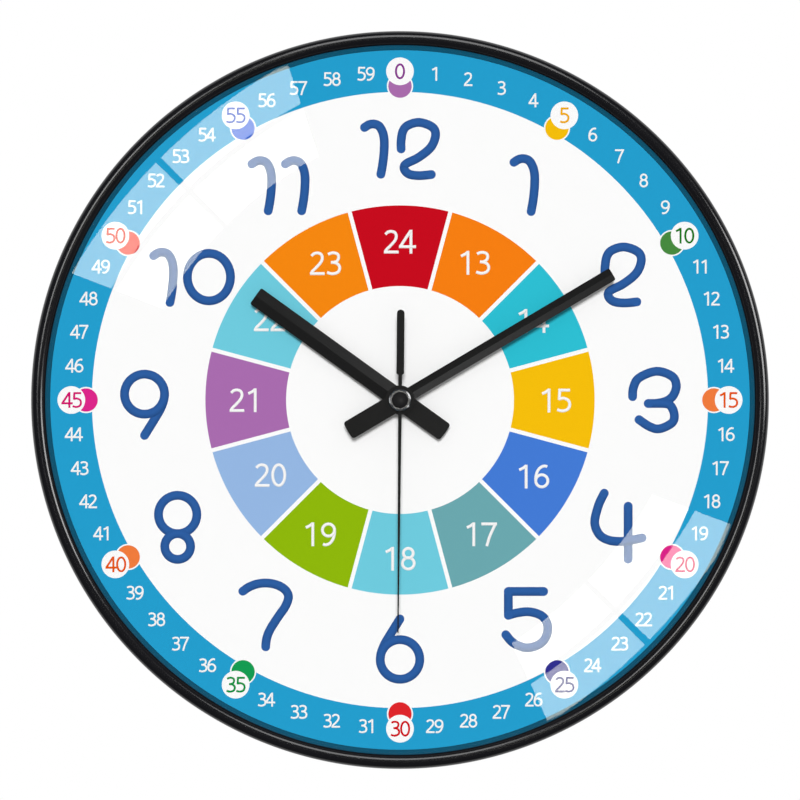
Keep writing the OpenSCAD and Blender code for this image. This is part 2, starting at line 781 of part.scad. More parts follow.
module third_wheel() color("#ece9df") hung() at_height(third_at, 0) {
    translate([0, 0, z_third])
        wheel(third_n, second_m, mesh_turn(180, 0, second_pinion_n, third_n), wheel_hub_r);
    translate([0, 0, z_third + wheel_t - eps])
        gear(third_pinion_n, third_m, z_centre - z_third + pinion_over + eps);
    pivots();
    translate([0, 0, z_third]) cylinder(r = arbor_r, h = z_train - z_third - end_shake);
}

module centre_wheel() color("#d8b65a") hung() translate([0, 0, z_centre]) difference() {
    wheel(centre_n, third_m, mesh_turn(0, 0, third_pinion_n, centre_n), spring_r + end_shake);
    translate([0, 0, -eps]) cylinder(r = clutch_r + play, h = wheel_t + 2 * eps);
}

// Setting train

module clutch_spring() color("#c9ccd0") hung() rotate_extrude() polygon([
    [clutch_r + play, z_minute - pinion_over - play - spring_t], [spring_r, z_centre + wheel_t + play],
    [spring_r, z_centre + wheel_t + play + spring_t], [clutch_r + play, z_minute - pinion_over - play]
]);

module cannon_pinion() color("#d8b65a") hung() difference() {
    union() {
        translate([0, 0, z_clutch]) cylinder(r = clutch_r + clutch_rim, h = clutch_flange_t);
        translate([0, 0, z_clutch]) cylinder(r = clutch_r, h = z_minute - z_clutch);
        translate([0, 0, z_minute - pinion_over]) gear(cannon_n, cannon_m, wheel_t + 2 * pinion_over);
        translate([0, 0, z_minute])
            cylinder(r = minute_tube_r, h = z_hand_nut + hand_nut_t + end_shake - z_minute);
    }
    translate([0, 0, z_clutch - eps]) cylinder(r = second_arbor_r + play, h = z_second_hand);
}

module minute_wheel() color("#ece9df") hung() at_height(minute_arbor_at, 0) {
    translate([0, 0, z_minute]) wheel(minute_n, cannon_m, mesh_turn(0, 0, cannon_n, minute_n), wheel_hub_r);
    translate([0, 0, z_minute + wheel_t - eps])
        gear(minute_pinion_n, hour_m, z_hour - z_minute + pinion_over + eps);
    translate([0, 0, z_mov_back]) cylinder(r = setting_r, h = z_roof - z_mov_back - play);
}

module setting_knob() color("#2a2b2e") hung() at_height(minute_arbor_at, 0) difference() {
    union() {
        translate([0, 0, knob_end]) cylinder(r = knob_r, h = z_mov_back - knob_off - knob_end);
        translate([0, 0, knob_end]) cylinder(r = knob_shaft_r, h = z_floor + knob_in - knob_end);
    }
    around(knob_grips, knob_r) translate([0, 0, knob_end - eps])
        cylinder(r = grip_r, h = z_mov_back, $fn = 24);
    translate([0, 0, z_mov_back - eps]) cylinder(r = setting_r + fit, h = z_floor);
}

module hour_wheel() color("#ece9df") hung() difference() {
    union() {
        translate([0, 0, z_hour])
            wheel(hour_n, hour_m, mesh_turn(180, 0, minute_pinion_n, hour_n), hour_pipe_r + hour_hub_web);
        translate([0, 0, z_hour]) cylinder(r = hour_pipe_r, h = z_hour_hand + hub_t + end_shake - z_hour);
    }
    translate([0, 0, z_hour - eps]) cylinder(r = minute_tube_r + play, h = z_minute_hand - z_hour);
}

// Hands

// Flat bar from y0 to y1 with rounded corners
module bar(w, y0, y1, corner = hand_corner) translate([0, (y0 + y1) / 2]) rounded_rect(w, y1 - y0, corner);

// Tail that ends in an arc about the hand axis
module tail(w, l) intersection() {
    linear_extrude(hand_t) bar(w, -l, tail_corner, tail_corner);
    cylinder(r = l, h = hand_t);
}

// Blade with a ridge pressed along its middle
module ridged_blade(w, l) intersection() {
    linear_extrude(hand_t + hand_ridge) bar(w, 0, l);
    rotate([-90, 0, 0]) linear_extrude(l) polygon([
        [-w / 2, 0], [w / 2, 0], [w / 2, -hand_t], [0, -hand_t - hand_ridge], [-w / 2, -hand_t]
    ]);
}

module pointing(angle, z) translate([0, 0, z]) rotate(-angle) children();

module hour_hand() color("#1d1e20") hung() pointing(hour_angle, z_hour_hand) difference() {
    union() {
        ridged_blade(hour_w, hour_l);
        tail(hour_w, hour_tail_l);
        cylinder(r = hour_hub_r, h = hub_t);
    }
    translate([0, 0, -eps]) cylinder(r = hour_pipe_r + fit, h = hub_t + 2 * eps);
}

module minute_hand() color("#1d1e20") hung() pointing(minute_angle, z_minute_hand) difference() {
    union() {
        ridged_blade(minute_w, minute_l);
        tail(minute_tail_w, minute_tail_l);
        cylinder(r = hub_r, h = hub_t);
    }
    translate([0, 0, -eps]) cylinder(r = minute_tube_r + fit, h = hub_t + 2 * eps);
}

module hand_nut() color("#c9ccd0") hung() translate([0, 0, z_hand_nut]) difference() {
    rotate_extrude() polygon([
        [0, 0], [hand_nut_r, 0], [hand_nut_r, hand_nut_t / 2],
        [hand_nut_r - hand_nut_t / 2, hand_nut_t], [0, hand_nut_t]
    ]);
    translate([0, 0, -eps]) cylinder(r = minute_tube_r + fit, h = hand_nut_t + 2 * eps);
}

module second_hand() color("#1d1e20") hung() pointing(second_angle, z_second_hand)
  linear_extrude(hand_t) difference() {
    union() {
        polygon([
            [-second_w / 2, 0], [second_w / 2, 0],
            [second_tip_w / 2, second_l], [-second_tip_w / 2, second_l]
        ]);
        translate([-second_w / 2, -second_neck_l - neck_lap]) square([second_w, second_neck_l + neck_lap]);
        bar(second_tail_w, second_end_y - second_corner, -second_neck_l, second_corner);
        translate([0, second_end_y]) circle(second_tail_w / 2);
        circle(cap_ring_r);
    }
    circle(second_arbor_r + fit);
}

module cap_ring() color("#c9ccd0") hung() translate([0, 0, z_second_hand + hand_t])
    rotate_extrude() polygon([
        [cap_r + fit, 0], [cap_ring_r, 0], [cap_ring_r, cap_ring_edge],
        [cap_ring_r - cap_ring_h + cap_ring_edge, cap_ring_h], [cap_r + fit, cap_ring_h]
    ]);

module second_cap() color("#1a1b1d") hung() translate([0, 0, z_second_hand + hand_t]) difference() {
    union() {
        cylinder(r = cap_r, h = cap_edge);
        translate([0, 0, cap_edge - eps]) dome(cap_r, cap_h - cap_edge + eps);
    }
    translate([0, 0, -eps]) cylinder(r = second_arbor_r + fit, h = cap_h / 2 + play);
}

front_bezel();
lens();
dial_sheet();
back_plate();
case_screws();
hanger_plate();
hanger_screws();
movement_front_case();
movement_rear_case();
stem_gasket();
stem_washer();
stem_nut();
train_plate();
stator();
coil_core();
coil_bobbin();
coil_winding();
circuit_board();
quartz_crystal();
chip();
contact_plus();
contact_minus();
battery();
rotor_pinion();
rotor_magnet();
intermediate_wheel();
second_wheel();
third_wheel();
centre_wheel();
clutch_spring();
cannon_pinion();
minute_wheel();
setting_knob();
hour_wheel();
hour_hand();
minute_hand();
hand_nut();
second_hand();
cap_ring();
second_cap();
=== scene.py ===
"""Looks of a round wall clock for teaching the time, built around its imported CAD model.

The dial is printed in layers of thin ink on the CAD dial sheet. Its tables are in millimetres, with x to
three o'clock and y to twelve. All else is in metres, in the CAD model's frame, unless a comment says so.
"""

import math

import bmesh
import bpy
from bpy.props import FloatProperty, FloatVectorProperty, PointerProperty
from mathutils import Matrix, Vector


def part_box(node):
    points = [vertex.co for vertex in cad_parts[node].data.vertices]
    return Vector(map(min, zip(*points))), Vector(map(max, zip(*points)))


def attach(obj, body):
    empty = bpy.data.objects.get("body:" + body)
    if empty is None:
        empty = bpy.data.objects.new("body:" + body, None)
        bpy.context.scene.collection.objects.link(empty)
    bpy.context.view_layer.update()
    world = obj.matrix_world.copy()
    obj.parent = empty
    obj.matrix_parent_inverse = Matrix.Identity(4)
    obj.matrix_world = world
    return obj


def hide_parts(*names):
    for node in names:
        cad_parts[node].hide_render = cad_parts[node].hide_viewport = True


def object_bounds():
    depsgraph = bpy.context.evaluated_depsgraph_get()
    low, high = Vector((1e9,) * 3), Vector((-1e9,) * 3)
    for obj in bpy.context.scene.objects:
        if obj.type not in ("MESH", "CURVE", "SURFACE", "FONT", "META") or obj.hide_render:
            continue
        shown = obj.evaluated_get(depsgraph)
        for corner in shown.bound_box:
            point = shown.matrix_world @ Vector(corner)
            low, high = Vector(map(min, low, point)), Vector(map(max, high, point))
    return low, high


bl_info = {
    "name": "Teaching wall clock",
    "version": (1, 0, 0),
    "blender": (4, 5, 0),
    "location": "View3D > Sidebar > Clock",
    "description": "Prints the dial of a teaching clock, finishes its case and movement, and sets the stage",
    "category": "Object",
}

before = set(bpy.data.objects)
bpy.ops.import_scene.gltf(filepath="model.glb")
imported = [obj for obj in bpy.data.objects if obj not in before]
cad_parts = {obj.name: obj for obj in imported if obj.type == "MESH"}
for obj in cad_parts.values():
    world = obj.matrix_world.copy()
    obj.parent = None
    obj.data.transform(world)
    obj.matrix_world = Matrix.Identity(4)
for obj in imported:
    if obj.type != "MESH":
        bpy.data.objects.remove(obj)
CAD_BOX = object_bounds()

MM = 0.001
MICRON = 0.000001
CASE = "case"
DIAL_FACE = -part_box("dial_sheet")[0].y
RIM_RADIUS = min(-CAD_BOX[0].x, CAD_BOX[1].x, CAD_BOX[1].z)
CROWN_TOP = -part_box("front_bezel")[0].y


# Values and helpers


def ink(code):
    """A colour written as RRGGBB, as the linear values that a shader takes."""
    parts = [int(code[i:i + 2], 16) / 255 for i in (0, 2, 4)]
    return tuple(p / 12.92 if p <= 0.04045 else ((p + 0.055) / 1.055) ** 2.4 for p in parts) + (1.0,)


def turned(point, degrees):
    """A point of the dial turned clockwise about the hand axis."""
    a = math.radians(degrees)
    return (point[0] * math.cos(a) + point[1] * math.sin(a), point[1] * math.cos(a) - point[0] * math.sin(a))


def ellipse(cx, cy, rx, ry, count):
    """Points round an ellipse, anticlockwise from three o'clock."""
    angles = [math.radians(360 * i / count) for i in range(count)]
    return [(cx + rx * math.cos(a), cy + ry * math.sin(a)) for a in angles]


def smooth(points, steps=5):
    """Points on a flowing line through the given ones."""
    ends = [points[0]] + list(points) + [points[-1]]
    out = []
    for p0, p1, p2, p3 in zip(ends, ends[1:], ends[2:], ends[3:]):
        for i in range(steps):
            t = i / steps
            out.append(tuple(
                0.5 * (2 * b + (c - a) * t + (2 * a - 5 * b + 4 * c - d) * t * t
                       + (3 * b - a - 3 * c + d) * t ** 3)
                for a, b, c, d in zip(p0, p1, p2, p3)))
    return out + [points[-1]]


def sizes():
    return bpy.context.scene.clock_sizes


def colours():
    return bpy.context.scene.clock_colours


def stage_settings():
    return bpy.context.scene.clock_stage


def new_object(name, data):
    """Link an object with that mesh, lamp or camera to the scene."""
    obj = bpy.data.objects.new(name, data)
    bpy.context.scene.collection.objects.link(obj)
    return obj


def mesh_from(name, verts, faces=(), edges=()):
    mesh = bpy.data.meshes.new(name)
    mesh.from_pydata(verts, edges, faces)
    mesh.update()
    return mesh


def tidy_mesh(mesh, smooth_angle=None):
    """Merge doubles and point the faces outwards; shade smooth below an angle where one is given."""
    bm = bmesh.new()
    bm.from_mesh(mesh)
    bmesh.ops.remove_doubles(bm, verts=bm.verts, dist=1e-7)
    bmesh.ops.recalc_face_normals(bm, faces=bm.faces)
    bm.to_mesh(mesh)
    bm.free()
    if smooth_angle is not None:
        mesh.shade_smooth()
        mesh.set_sharp_from_angle(angle=math.radians(smooth_angle))


def seat(obj, replaces=()):
    """Tell the frame that a finished piece rides on the case, and hide the CAD nodes that it stands for."""
    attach(obj, CASE)
    if replaces:
        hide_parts(*replaces)


def coat(node, material):
    """Put a material on a CAD node."""
    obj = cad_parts[node]
    if not obj.material_slots:
        obj.data.materials.append(material)
    for slot in obj.material_slots:
        slot.material = material


# Shader maths
EVEN = (1, 1, 1)


class Value:
    """A shader socket that takes part in Python expressions."""

    def __init__(self, finish, socket):
        self.finish = finish
        self.socket = socket

    def math(self, operation, a, b=0.0):
        return self.finish.node("ShaderNodeMath", {"operation": operation}, {0: a, 1: b})[0]

    def __add__(self, other):
        return self.math("ADD", self, other)

    def __radd__(self, other):
        return self.math("ADD", other, self)

    def __sub__(self, other):
        return self.math("SUBTRACT", self, other)

    def __rsub__(self, other):
        return self.math("SUBTRACT", other, self)

    def __mul__(self, other):
        return self.math("MULTIPLY", self, other)

    def __rmul__(self, other):
        return self.math("MULTIPLY", other, self)

    def __truediv__(self, other):
        return self.math("DIVIDE", self, other)

    def __pow__(self, other):
        return self.math("POWER", self, other)

    def __gt__(self, other):
        return self.math("GREATER_THAN", self, other)

    def __lt__(self, other):
        return self.math("LESS_THAN", self, other)

    def clamped(self):
        return self.math("MINIMUM", self.most(0.0), 1.0)

    def most(self, other):
        return self.math("MAXIMUM", self, other)

    def sine(self):
        return self.math("SINE", self)


class Nodes:
    """Adds nodes to a tree."""

    def add(self, kind, settings, inputs):
        """Add a node; its settings come first, then the values or links of its sockets."""
        made = self.tree.nodes.new(kind)
        for key, value in dict(settings).items():
            setattr(made, key, value)
        for key, value in inputs.items():
            if isinstance(value, bpy.types.NodeSocket):
                self.tree.links.new(value, made.inputs[key])
            else:
                made.inputs[key].default_value = value
        return made


class Finish(Nodes):
    """Builds one node tree, for a material or the world."""

    def __init__(self, tree):
        self.tree = tree
        tree.nodes.clear()

    def node(self, kind, settings=(), inputs=()):
        plain = {key: v.socket if isinstance(v, Value) else v for key, v in dict(inputs).items()}
        return Outputs(self, self.add(kind, settings, plain))

    def place(self):
        return self.node("ShaderNodeTexCoord")["Object"]

    def axes(self):
        parts = self.node("ShaderNodeSeparateXYZ", {}, {0: self.place()})
        return parts["X"], parts["Y"], parts["Z"]

    def noise(self, scale, detail=3.0, roughness=0.5, stretch=EVEN):
        at = self.node("ShaderNodeMapping", {}, {"Vector": self.place(), "Scale": stretch})["Vector"]
        return self.node("ShaderNodeTexNoise", {}, {
            "Vector": at, "Scale": scale, "Detail": detail, "Roughness": roughness})["Fac"]

    def mix(self, factor, a, b):
        """Mix two colours."""
        return self.node("ShaderNodeMix", {"data_type": "RGBA"}, {"Factor": factor, 6: a, 7: b})[2]

    def cloudy(self, colour, spread, scale):
        """A colour that drifts by a share of itself to either side."""
        return self.mix(self.noise(scale), shade(colour, 1 - spread), shade(colour, 1 + spread))

    def bump(self, height, strength, microns):
        return self.node("ShaderNodeBump", {}, {
            "Height": height, "Strength": strength, "Distance": microns * MICRON})["Normal"]

    def surface(self, inputs, dull=None, dull_colour=None):
        """Close a material; where dull is given, that share of the surface is matt in dull_colour."""
        shader = self.node("ShaderNodeBsdfPrincipled", {}, inputs)[0]
        if dull is not None:
            film = self.node("ShaderNodeBsdfDiffuse", {}, {"Color": dull_colour})[0]
            shader = self.node("ShaderNodeMixShader", {}, {"Fac": dull, 1: shader, 2: film})[0]
        self.node("ShaderNodeOutputMaterial", {}, {"Surface": shader})


class Outputs:
    """A node's outputs by name or number."""

    def __init__(self, finish, node):
        self.finish = finish
        self.made = node

    def __getitem__(self, key):
        return Value(self.finish, self.made.outputs[key])


def new_finish(name):
    """An empty material and the builder of its nodes."""
    material = bpy.data.materials.new(name)
    material.use_nodes = True
    return material, Finish(material.node_tree)


def shade(colour, factor):
    """A colour made lighter or darker by a factor."""
    return tuple(min(1.0, c * factor) for c in colour[:3]) + (1.0,)


# Finishes


def moulded(name, colour, roughness, grain, grain_scale, specular=0.5):
    """Moulded plastic: slightly cloudy colour and a fine spark-eroded grain."""
    material, f = new_finish(name)
    speck = f.noise(grain_scale, 4.0, 0.65)
    f.surface({
        "Base Color": f.cloudy(colour, 0.14, 60.0),
        "Roughness": roughness - 0.05 + 0.1 * speck,
        "Normal": f.bump(speck, grain, 50),
        "Specular IOR Level": specular,
    })
    return material


def case_moulding(name, colour):
    """Grained moulding, polished on the collar in front of the dial."""
    material, f = new_finish(name)
    collar = (0.0 - f.axes()[1]) > DIAL_FACE
    speck = f.noise(1800.0, 4.0, 0.65)
    f.surface({
        "Base Color": f.cloudy(colour, 0.14, 60.0),
        "Roughness": (0.26 + 0.12 * speck) * (1.0 - 0.8 * collar),
        "Normal": f.bump(speck * (1.0 - collar), 0.25, 50),
    }, 0.5 * collar, shade(colour, 0.4))
    return material


def polished(name, colour, roughness, specular, satin_below=0.0):
    """Polished moulding with faint swirls from wiping, and satin nearer to the wall than a given level."""
    material, f = new_finish(name)
    wipe = f.noise(420.0, 2.0, 0.5, (1, 1, 0.2))
    cloud = f.noise(35.0)
    satin = (0.0 - f.axes()[1]) < satin_below
    f.surface({
        "Base Color": f.mix(cloud, shade(colour, 0.85), shade(colour, 1.15)),
        "Roughness": roughness + 0.02 * wipe + satin * 0.4,
        "Normal": f.bump(cloud, 0.01, 200),
        "Specular IOR Level": specular,
    })
    return material


def metal(name, colour, roughness, stretch=EVEN, relief=0.06):
    """Bare or plated metal, drawn along the axis with the smallest stretch."""
    material, f = new_finish(name)
    drawn = f.noise(900.0, 3.0, 0.6, stretch)
    cloud = f.noise(90.0)
    f.surface({
        "Base Color": f.mix(cloud, shade(colour, 0.88), shade(colour, 1.06)),
        "Metallic": 1.0,
        "Roughness": roughness - 0.06 + 0.14 * drawn,
        "Normal": f.bump(drawn, relief, 30),
    })
    return material


def painted_hand(name, colour, roughness):
    """Stoved black paint on thin aluminium."""
    material, f = new_finish(name)
    peel = f.noise(1400.0, 2.0)
    f.surface({
        "Base Color": f.cloudy(colour, 0.1, 120.0),
        "Roughness": roughness - 0.04 + 0.08 * peel,
        "Normal": f.bump(peel, 0.08, 20),
        "Specular IOR Level": 0.35,
    })
    return material


def printed_ink(name):
    """Printed ink, whose colour each piece carries in its own ink attribute."""
    material, f = new_finish(name)
    tint = f.node("ShaderNodeAttribute", {"attribute_name": "ink"})["Color"]
    tooth = f.noise(2600.0, 2.0)
    pale = f.node("ShaderNodeVectorMath", {"operation": "SCALE"}, {0: tint, "Scale": 0.965})[0]
    f.surface({
        "Base Color": f.mix(tooth, tint, pale),
        "Roughness": 0.5 + 0.08 * tooth,
        "Normal": f.bump(tooth, 0.05, 10),
        "Specular IOR Level": 0.1,
    })
    return material


def dial_paper(name, colour):
    """White laminated dial sheet with a faint tooth."""
    material, f = new_finish(name)
    tooth = f.noise(2200.0, 3.0)
    f.surface({
        "Base Color": f.mix(tooth, shade(colour, 0.985), colour),
        "Roughness": 0.55 + 0.08 * tooth,
        "Normal": f.bump(tooth, 0.04, 10),
        "Specular IOR Level": 0.1,
    })
    return material


def clear_pane(name, colour):
    """Clear flat glass: a see-through sheet with a faint mirror on it, stronger at a slant."""
    material, f = new_finish(name)
    slant = f.node("ShaderNodeLayerWeight", {}, {"Blend": 0.5})["Facing"]
    dust = f.noise(700.0, 2.0)
    f.surface({
        "Base Color": colour,
        "Metallic": 1.0,
        "Roughness": (dust - 0.7).clamped() * 0.02,
        "Alpha": 0.04 + 0.96 * slant ** 5.0,
    })
    return material


def battery_jacket(name, dark, band, steel):
    """Printed jacket in two plain bands, with bare steel at both ends."""
    low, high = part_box("battery")
    material, f = new_finish(name)
    x = f.axes()[0]
    along = (x - low.x) / (high.x - low.x)
    scuff = f.noise(500.0, 3.0)
    banded = f.mix(along > 0.72, dark, band)
    bare = (along < 0.022) + (along > 0.965)
    f.surface({
        "Base Color": f.mix(bare, f.mix(scuff, banded, shade(dark, 1.6)), steel),
        "Metallic": bare * 0.9 + 0.1,
        "Roughness": 0.32 + 0.1 * scuff,
        "Normal": f.bump(scuff, 0.04, 20),
    })
    return material


def board_mask(name, colour):
    """Green solder mask over faint copper tracks."""
    material, f = new_finish(name)
    axes = f.axes()
    tracks = (axes[0] * 2600.0).sine() * (axes[2] * 1900.0).sine() > 0.55
    speck = f.noise(1500.0)
    f.surface({
        "Base Color": f.mix(tracks, colour, shade(colour, 1.7)),
        "Roughness": 0.35 + 0.12 * speck,
        "Normal": f.bump(tracks, 0.2, 40),
    })
    return material


def wound_wire(name, colour):
    """Fine lacquered wire wound along X, with painted shade in the grooves between the turns and a painted
    highlight on their crests.
    """
    material, f = new_finish(name)
    x = f.axes()[0]
    turn = (x * 26000.0).sine() * 0.5 + 0.5
    f.surface({
        # Base colour darker in the grooves and lighter on the crests of the turns: painted shade and painted
        # highlight, on top of the real bump
        "Base Color": f.mix(turn, shade(colour, 0.55), shade(colour, 1.15)),
        "Metallic": 0.85,
        "Roughness": 0.42 - 0.12 * turn,
        "Normal": f.bump(turn, 0.5, 60),
    })
    return material


# Geometry Nodes; a stroke's round tip has these sides and stands a little above the stroke
TIP_SIDES = 28
TIP_LIFT = 4 * MICRON


class Tree(Nodes):
    """Builds one Geometry Nodes tree with named inputs."""

    def __init__(self, name, inputs):
        self.tree = bpy.data.node_groups.new(name, "GeometryNodeTree")
        face = self.tree.interface
        face.new_socket("Geometry", in_out="INPUT", socket_type="NodeSocketGeometry")
        for label, kind in inputs.items():
            face.new_socket(label, in_out="INPUT", socket_type="NodeSocket" + kind)
        face.new_socket("Geometry", in_out="OUTPUT", socket_type="NodeSocketGeometry")
        self.source = self.tree.nodes.new("NodeGroupInput").outputs
        self.out = self.tree.nodes.new("NodeGroupOutput").inputs[0]

    def node(self, kind, settings=(), inputs=()):
        return self.add(kind, settings, dict(inputs)).outputs

    def join(self, *parts):
        joined = self.tree.nodes.new("GeometryNodeJoinGeometry")
        for part in parts:
            self.tree.links.new(part, joined.inputs[0])
        return joined.outputs[0]

    def close(self, geometry):
        """End in plain geometry that carries the chosen material."""
        plain = self.node("GeometryNodeRealizeInstances", {}, {0: geometry})[0]
        done = self.node("GeometryNodeSetMaterial", {}, {0: plain, "Material": self.source["Material"]})[0]
        self.tree.links.new(done, self.out)


def stroke_tree():
    """Flat ink lines along the edges of a mesh, with round ends where asked."""
    t = Tree("Ink strokes", {
        "Width": "Float", "Thickness": "Float", "End Radius": "Float", "Material": "Material"})
    line = t.node("GeometryNodeMeshToCurve", {}, {0: t.source["Geometry"]})[0]
    line = t.node("GeometryNodeSetCurveNormal", {"mode": "Z_UP"}, {0: line})[0]
    section = t.node("GeometryNodeCurvePrimitiveQuadrilateral", {"mode": "RECTANGLE"}, {
        "Width": t.source["Width"], "Height": t.source["Thickness"]})[0]
    band = t.node("GeometryNodeCurveToMesh", {}, {
        "Curve": line, "Profile Curve": section, "Fill Caps": True})[0]
    tips = t.node("GeometryNodeCurveEndpointSelection")[0]
    ring = t.node("GeometryNodeInputSplineCyclic")[0]
    tips = t.node("FunctionNodeBooleanMath", {"operation": "NIMPLY"}, {0: tips, 1: ring})[0]
    disc = t.node("GeometryNodeMeshCylinder", {}, {
        "Vertices": TIP_SIDES, "Radius": t.source["End Radius"], "Depth": t.source["Thickness"]})[0]
    ends = t.node("GeometryNodeInstanceOnPoints", {}, {
        "Points": line, "Selection": tips, "Instance": disc})[0]
    lift = t.node("ShaderNodeCombineXYZ", {}, {"Z": TIP_LIFT})[0]
    ends = t.node("GeometryNodeTranslateInstances", {}, {"Instances": ends, "Translation": lift})[0]
    t.close(t.join(band, ends))
    return t.tree


def copies_tree():
    """Copies of one piece on the points of a mesh, each turned about the hand axis by its turn attribute."""
    t = Tree("Turned copies", {"Piece": "Object", "Material": "Material"})
    piece = t.node("GeometryNodeObjectInfo", {}, {"Object": t.source["Piece"]})["Geometry"]
    turn = t.node("GeometryNodeInputNamedAttribute", {"data_type": "FLOAT"}, {"Name": "turn"})["Attribute"]
    euler = t.node("ShaderNodeCombineXYZ", {}, {"Y": turn})[0]
    t.close(t.node("GeometryNodeInstanceOnPoints", {}, {
        "Points": t.source["Geometry"], "Instance": piece, "Rotation": euler})["Instances"])
    return t.tree


def revolve_tree():
    """A section in the XZ plane, carried round the hand axis."""
    t = Tree("Turned section", {"Radius": "Float", "Steps": "Int", "Material": "Material"})
    section = t.node("GeometryNodeMeshToCurve", {}, {0: t.source["Geometry"]})[0]
    path = t.node("GeometryNodeCurvePrimitiveCircle", {"mode": "RADIUS"}, {
        "Resolution": t.source["Steps"], "Radius": t.source["Radius"]})[0]
    t.close(t.node("GeometryNodeCurveToMesh", {}, {"Curve": path, "Profile Curve": section})[0])
    return t.tree


def grown(name, mesh, tree, inputs, smooth_angle=None):
    """Run a tree on a mesh and keep the result as a plain object of that name."""
    seed = new_object(name + ".seed", mesh)
    modifier = seed.modifiers.new("Tree", "NODES")
    modifier.node_group = tree
    for item in tree.interface.items_tree:
        if item.in_out == "INPUT" and item.name in inputs:
            modifier[item.identifier] = inputs[item.name]
    bpy.context.view_layer.update()
    depsgraph = bpy.context.evaluated_depsgraph_get()
    made = bpy.data.meshes.new_from_object(seed.evaluated_get(depsgraph))
    seed.modifiers.remove(modifier)
    bpy.data.objects.remove(seed)
    if not made.polygons:
        raise RuntimeError(name + " came out empty")
    made.name = name
    tidy_mesh(made, smooth_angle)
    return new_object(name, made)


def hang(mesh, level):
    """Stand a mesh that lies on the bench up against the wall, its zero at a level in front of the wall."""
    for v in mesh.vertices:
        v.co = Vector((v.co.x, -(v.co.z + level), v.co.y))
    mesh.update()


def give_ink(mesh, inks):
    """Give each point of a mesh its ink."""
    layer = mesh.attributes.new("ink", "FLOAT_COLOR", "POINT")
    for item, colour in zip(layer.data, inks):
        item.color = colour


# Layers of ink, each a little higher than what it covers, in millimetres
LAYERS = {"ground": 0.02, "outline": 0.04, "spot": 0.06, "plate": 0.08, "figure": 0.10}
# How deep ink reaches into what it covers; strokes that cross lie a step apart, on a few levels in turn
SINK = 0.01
STEP = 0.006
LEVELS = 5
# Size of the tip on a blunt stroke, as a share of a round one
BLUNT = 0.02


def lets_light_past(obj):
    """Keep a piece from darkening the dial behind it."""
    obj.visible_shadow = False
    obj.visible_diffuse = False


def only_seen(obj):
    """A pane or print so thin that the camera sees it, while the light on what is behind stays as it is."""
    lets_light_past(obj)
    obj.visible_glossy = False


def printed_strokes(name, strokes, width, inks, round_ends=False):
    """Print lines on the dial: strokes are (points, closed), and inks has one colour for each."""
    verts, edges, point_inks = [], [], []
    for i, (points, closed) in enumerate(strokes):
        first = len(verts)
        level = LAYERS["figure"] / 2 + STEP * (i % LEVELS)
        verts += [(x * MM, y * MM, level * MM) for x, y in points]
        edges += [(k, k + 1) for k in range(first, len(verts) - 1)]
        if closed:
            edges.append((len(verts) - 1, first))
        point_inks += [inks[i]] * len(points)
    mesh = mesh_from(name, verts, (), edges)
    give_ink(mesh, point_inks)
    obj = grown(name, mesh, TREES["strokes"], {
        "Width": width, "Thickness": (LAYERS["figure"] + 2 * SINK) * MM,
        "End Radius": width / 2 * (1.0 if round_ends else BLUNT), "Material": MATERIALS["ink"]})
    hang(obj.data, DIAL_FACE)
    seat(obj)
    only_seen(obj)


def slab(name, outline, layer):
    """A flat closed piece of ink with the given outline, hung on the dial."""
    top, n = LAYERS[layer] * MM, len(outline)
    verts = [(x * MM, y * MM, z) for z in (-SINK * MM, top) for x, y in outline]
    sides = [(i, (i + 1) % n, n + (i + 1) % n, n + i) for i in range(n)]
    mesh = mesh_from(name, verts, [tuple(range(n - 1, -1, -1)), tuple(range(n, 2 * n))] + sides)
    hang(mesh, DIAL_FACE)
    return mesh


def printed_copies(name, outline, layer, inks):
    """Print one outline round the dial, once for each ink."""
    piece = new_object(name + ".one", slab(name + ".one", outline, layer))
    points = mesh_from(name, [(0, 0, 0)] * len(inks))
    give_ink(points, inks)
    turn = points.attributes.new("turn", "FLOAT", "POINT")
    for i, item in enumerate(turn.data):
        item.value = 2 * math.pi * i / len(inks)
    obj = grown(name, points, TREES["copies"], {"Piece": piece, "Material": MATERIALS["ink"]})
    bpy.data.objects.remove(piece)
    seat(obj)
    only_seen(obj)


# A stroke is (points, closed)


def line(*points):
    """An open stroke from point to point."""
    return points, False


def flow(*points):
    """An open stroke that flows through the points."""
    return smooth(points), False


def loop(cx, cy, rx, ry, count):
    """A closed round stroke."""
    return ellipse(cx, cy, rx, ry, count), True


